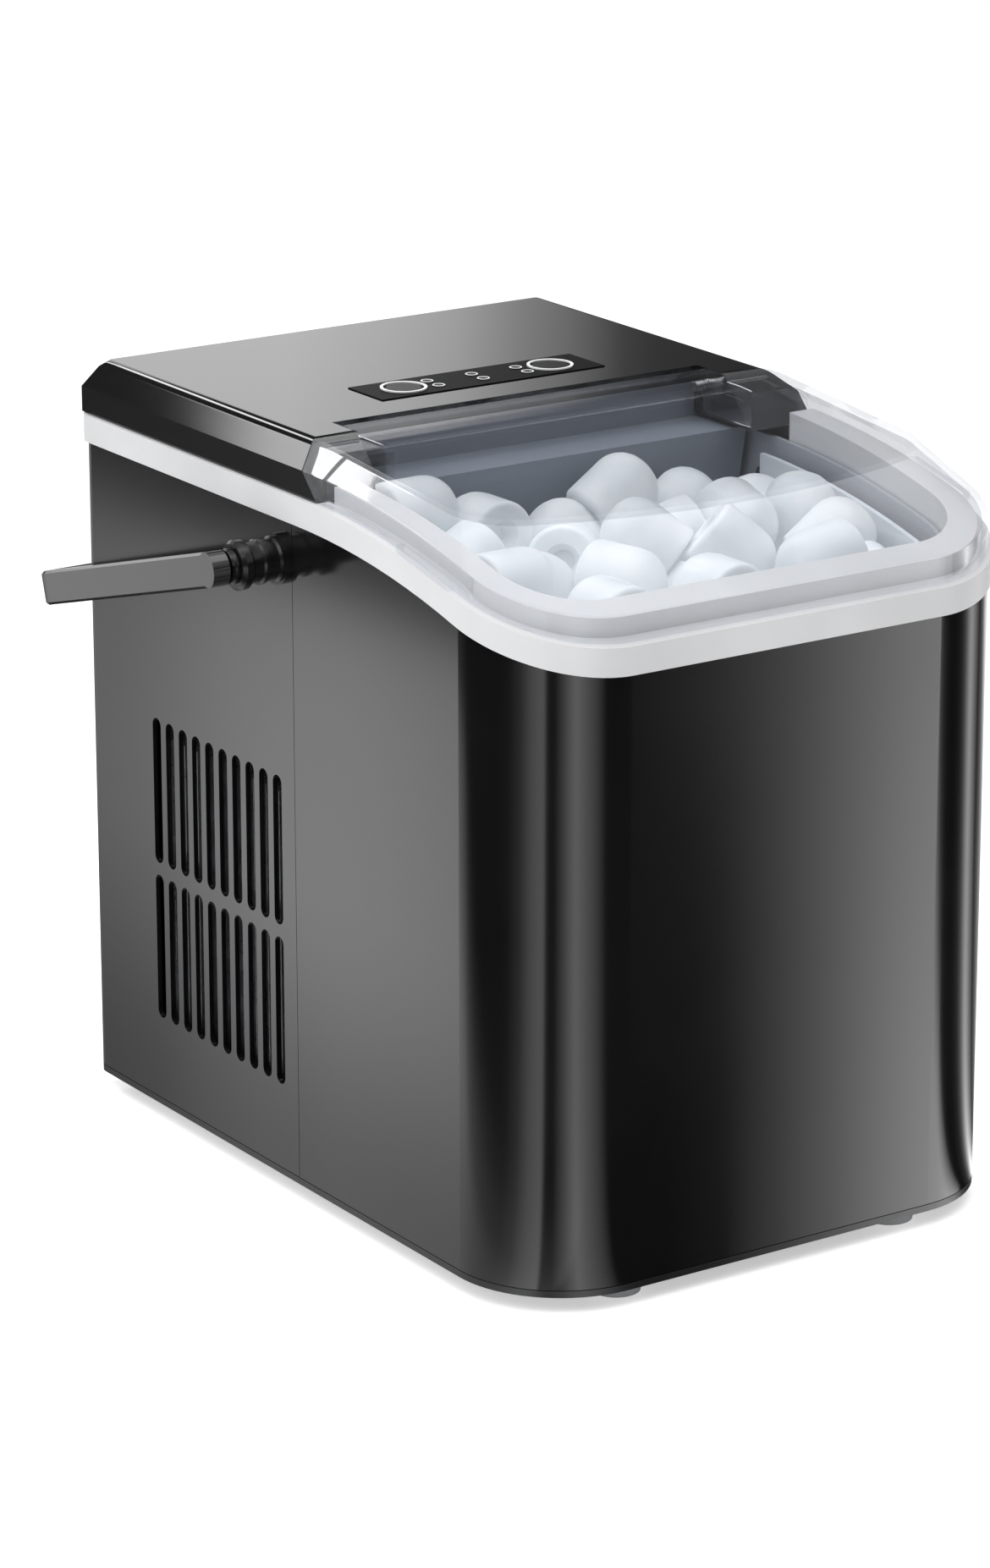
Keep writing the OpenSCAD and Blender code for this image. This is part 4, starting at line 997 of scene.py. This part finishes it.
@dataclass
class IceHeap:
    """The heap of bullet ice in the basket."""

    # One bullet; shares are of its radius.
    radius: float = 13.4 * MM
    length: float = 29.0 * MM
    sides: int = 28
    dome_share: float = 0.86
    dome_steps: int = 6
    rim_share: float = 0.14
    rim_steps: int = 3
    bore_share: float = 0.5
    bore_depth: float = 6.0 * MM
    bore_steps: tuple[tuple[float, float], ...] = ((0.1, 0.35), (0.12, 0.65))
    smooth: float = math.radians(50.0)
    # The few-sided bullet that falls in its place.
    hull_sides: int = 9
    hull_dome_share: float = 0.7
    hull_dome_steps: int = 2
    # The loose stack above the basket; spacings are in bullet lengths.
    columns: int = 5
    rows: int = 3
    layers: int = 13
    seed: int = 5
    jitter: float = 1.0 * MM
    spacing: float = 1.12
    close_spacing: float = 0.78
    side_gap: float = 4.5 * MM
    floor_gap: float = 2.0 * MM
    rear_reach: float = 8.0 * MM
    # The fall.
    frames: int = 110
    substeps: int = 12
    solver_steps: int = 20
    lean: float = math.radians(5.0)
    margin: float = 0.2 * MM
    friction: float = 0.12
    mass: float = 0.015
    slowing: tuple[float, float] = (0.1, 0.3)
    # The room under the lid: its falling top and its front wall.
    lid_gap: float = 8.0 * MM
    lid_fall_start: float = 27.0 * MM
    lid_slope: float = 0.088
    lid_drop: float = 9.7 * MM
    lid_wall: float = 30.0 * MM
    wall_lean: float = 1.2
    wall_gap: float = 11.0 * MM
    # The box that the bullets are dropped into.
    low: Vector = field(init=False)
    high: Vector = field(init=False)

    def build(self) -> None:
        """Model one bullet, drop many into the basket and join what stays under the lid."""
        low, high = (Vector(c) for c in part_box("ice_basket"))
        self.low = low + Vector((self.side_gap, self.side_gap, self.floor_gap))
        self.high = Vector((high.x - self.side_gap, high.y + self.rear_reach, high.z))
        bullet = self._bullet()
        heap = self._scatter(self._plain_bullet())
        self._drop(heap)
        for piece in heap:
            piece.data = bullet.data.copy()
        bpy.data.objects.remove(bullet)
        bpy.context.view_layer.update()
        kept = []
        for piece in heap:
            if self._clear_of_lid(piece):
                kept.append(piece)
            else:
                bpy.data.objects.remove(piece)
        join(kept)
        LOG.info("ice: %d of %d bullets stay in the basket", len(kept), len(heap))
        finish_piece(bpy.context.object, "ice_heap", "basket", "", Finish.ICE)

    def _bullet(self) -> bpy.types.Object:
        """Shape one bullet: a domed cylinder with the finger's bore in its flat end.

        Returns:
            The bullet.
        """
        piece = self._cylinder(self.sides)
        bpy.ops.object.mode_set(mode="EDIT")
        self._round_cap(piece, 1.0, self.dome_share, self.dome_steps)
        self._round_cap(piece, -1.0, self.rim_share, self.rim_steps)
        self._pick_cap(piece, -1.0)
        bpy.ops.mesh.inset(thickness=self.radius * (1.0 - self.rim_share - self.bore_share), depth=0.0)
        for narrowing, deepening in self.bore_steps:
            bpy.ops.mesh.inset(thickness=self.radius * narrowing, depth=-self.bore_depth * deepening)
        bpy.ops.object.mode_set(mode="OBJECT")
        bpy.ops.object.shade_smooth_by_angle(angle=self.smooth)
        return piece

    def _plain_bullet(self) -> bpy.types.Object:
        """Shape the few-sided bullet that falls in place of the smooth one.

        Returns:
            The plain bullet.
        """
        piece = self._cylinder(self.hull_sides)
        bpy.ops.object.mode_set(mode="EDIT")
        self._round_cap(piece, 1.0, self.hull_dome_share, self.hull_dome_steps)
        bpy.ops.object.mode_set(mode="OBJECT")
        return piece

    def _cylinder(self, sides: int) -> bpy.types.Object:
        """Add an upright cylinder of a bullet's size.

        Args:
            sides: Its number of side faces.

        Returns:
            The cylinder.
        """
        deselect()
        bpy.ops.mesh.primitive_cylinder_add(vertices=sides, radius=self.radius, depth=self.length,
                                            end_fill_type="NGON")
        return bpy.context.object

    def _round_cap(self, piece: bpy.types.Object, side: float, share: float, steps: int) -> None:
        """Round the edge of one cap while in edit mode.

        Args:
            piece: The bullet.
            side: 1 for the upper cap, -1 for the lower one.
            share: Radius of the rounding, as a share of the bullet's radius.
            steps: Facets of the rounding.
        """
        self._pick_cap(piece, side)
        bpy.ops.mesh.bevel(offset=self.radius * share, segments=steps, profile=0.5, affect="EDGES",
                           clamp_overlap=False)

    @staticmethod
    def _pick_cap(piece: bpy.types.Object, side: float) -> None:
        """Select one cap while in edit mode.

        Args:
            piece: The bullet.
            side: 1 for the upper cap, -1 for the lower one.
        """
        bpy.ops.mesh.select_all(action="DESELECT")
        mesh = bmesh.from_edit_mesh(piece.data)
        for face in mesh.faces:
            if face.normal.z * side > LEVEL:
                face.select_set(True)
        bmesh.update_edit_mesh(piece.data)

    def _scatter(self, bullet: bpy.types.Object) -> list[bpy.types.Object]:
        """Copy the bullet into loose layers, each copy with its own mesh and turn.

        Args:
            bullet: The plain bullet; it goes once it is copied.

        Returns:
            The copies.
        """
        chance = random.Random(self.seed)
        spacing = self.spacing
        heap = []
        for layer, row, column in itertools.product(range(self.layers), range(self.rows), range(self.columns)):
            share = Vector(((column + 0.5) / self.columns, (row + 0.5) / self.rows))
            x, y = (self.low[i] + (self.high[i] - self.low[i]) * share[i] for i in (0, 1))
            spot = Vector((x, y, self.low.z + (layer + 0.6) * self.length * spacing))
            piece = bullet.copy()
            piece.data = bullet.data.copy()
            bpy.context.collection.objects.link(piece)
            piece.location = spot + Vector([chance.uniform(-1.0, 1.0) * self.jitter for _ in range(3)])
            piece.rotation_euler = [chance.uniform(0.0, math.tau) for _ in range(3)]
            heap.append(piece)
        bpy.data.objects.remove(bullet)
        return heap

    def _drop(self, heap: list[bpy.types.Object]) -> None:
        """Let the bullets fall and settle, then fix them where they lie.

        Args:
            heap: The loose bullets.
        """
        scene = bpy.context.scene
        gravity = scene.gravity.copy()
        bpy.ops.rigidbody.world_add()
        scene.rigidbody_world.substeps_per_frame = self.substeps
        scene.rigidbody_world.solver_iterations = self.solver_steps
        scene.rigidbody_world.point_cache.frame_end = self.frames
        scene.gravity = Vector((0.0, math.sin(self.lean), -math.cos(self.lean))) * GRAVITY
        walls = self._walls()
        for piece in walls:
            self._give_body(piece, "PASSIVE", "BOX")
        for piece in heap:
            self._give_body(piece, "ACTIVE", "CONVEX_HULL")
        for number in range(1, self.frames + 1):
            scene.frame_set(number)
        LOG.info("ice: settled after %d frames", self.frames)
        placed = [(piece, piece.matrix_world.copy()) for piece in heap]
        deselect()
        bpy.ops.rigidbody.world_remove()
        scene.frame_set(1)
        scene.gravity = gravity
        for piece, where in placed:
            piece.matrix_world = where
        for wall in walls:
            bpy.data.objects.remove(wall)

    def _give_body(self, piece: bpy.types.Object, kind: str, shape: str) -> None:
        """Let a piece take part in the fall.

        Args:
            piece: A bullet or a guide.
            kind: Blender's type of rigid body.
            shape: Blender's collision shape.
        """
        take(piece)
        bpy.ops.rigidbody.object_add(type=kind)
        body = piece.rigid_body
        body.collision_shape = shape
        body.use_margin = True
        body.collision_margin = self.margin
        body.friction = self.friction
        body.restitution = 0.0
        body.mass = self.mass
        body.linear_damping, body.angular_damping = self.slowing

    def _walls(self) -> list[bpy.types.Object]:
        """Stand thick guides round the basket's inside for the fall alone.

        Returns:
            The guides: a floor and four walls.
        """
        thick, tall, floor_width = 0.05, 0.5, 1.0
        middle = (self.low + self.high) / 2
        length = (self.high - self.low) * 3
        level = self.low.z + tall / 2
        boxes = [((middle.x, middle.y, self.low.z - thick / 2), (floor_width, floor_width, thick))]
        for side, edge in ((-1, self.low), (1, self.high)):
            boxes.append(((edge.x + side * thick / 2, middle.y, level), (thick, length.y, tall)))
            boxes.append(((middle.x, edge.y + side * thick / 2, level), (length.x, thick, tall)))
        walls = []
        for place, size in boxes:
            bpy.ops.mesh.primitive_cube_add(size=1.0, location=place, scale=size)
            walls.append(bpy.context.object)
            settle(walls[-1], keep_place=True)
        return walls

    def _clear_of_lid(self, piece: bpy.types.Object) -> bool:
        """Tell whether a bullet stays under the closed lid, with room for the basket to lift.

        Args:
            piece: The settled bullet.

        Returns:
            True if all of it lies under the lid's top and behind its front wall.
        """
        low, high = (Vector(c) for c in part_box("lid"))
        hinge_side = high.y - self.lid_fall_start
        for corner in piece.data.vertices:
            point = piece.matrix_world @ corner.co
            ceiling = high.z - self.lid_gap - self.lid_slope * max(hinge_side - point.y, 0.0)
            wall = low.y + self.lid_wall - (high.z - self.lid_drop - point.z) * self.wall_lean + self.wall_gap
            if point.z > ceiling or point.z > low.z + self.wall_gap and point.y < wall:
                return False
        return True


def main() -> None:
    """Build the whole scene."""
    logging.basicConfig(level=logging.INFO, format="%(name)s: %(message)s")
    Studio().build()
    Machine().dress()
    Rounded("lid", Finish.LID, "lid", "smoked_clear", 0.35 * MM, 1, smooth=math.radians(12.0)).build()
    Rounded("carry_handle", Finish.HANDLE, "handle", "handle_grey", 1.2 * MM, 3, smooth=math.radians(30.0)).build()
    IndicatorRims().build()
    Cover("top_cover", Finish.COVER, "machine", "gloss_casing", 0.8 * MM).build()
    Rounded("top_frame", Finish.FRAME, "machine", "white_plastic", 0.8 * MM).build()
    IceHeap().build()


if __name__ == "__main__":
    main()
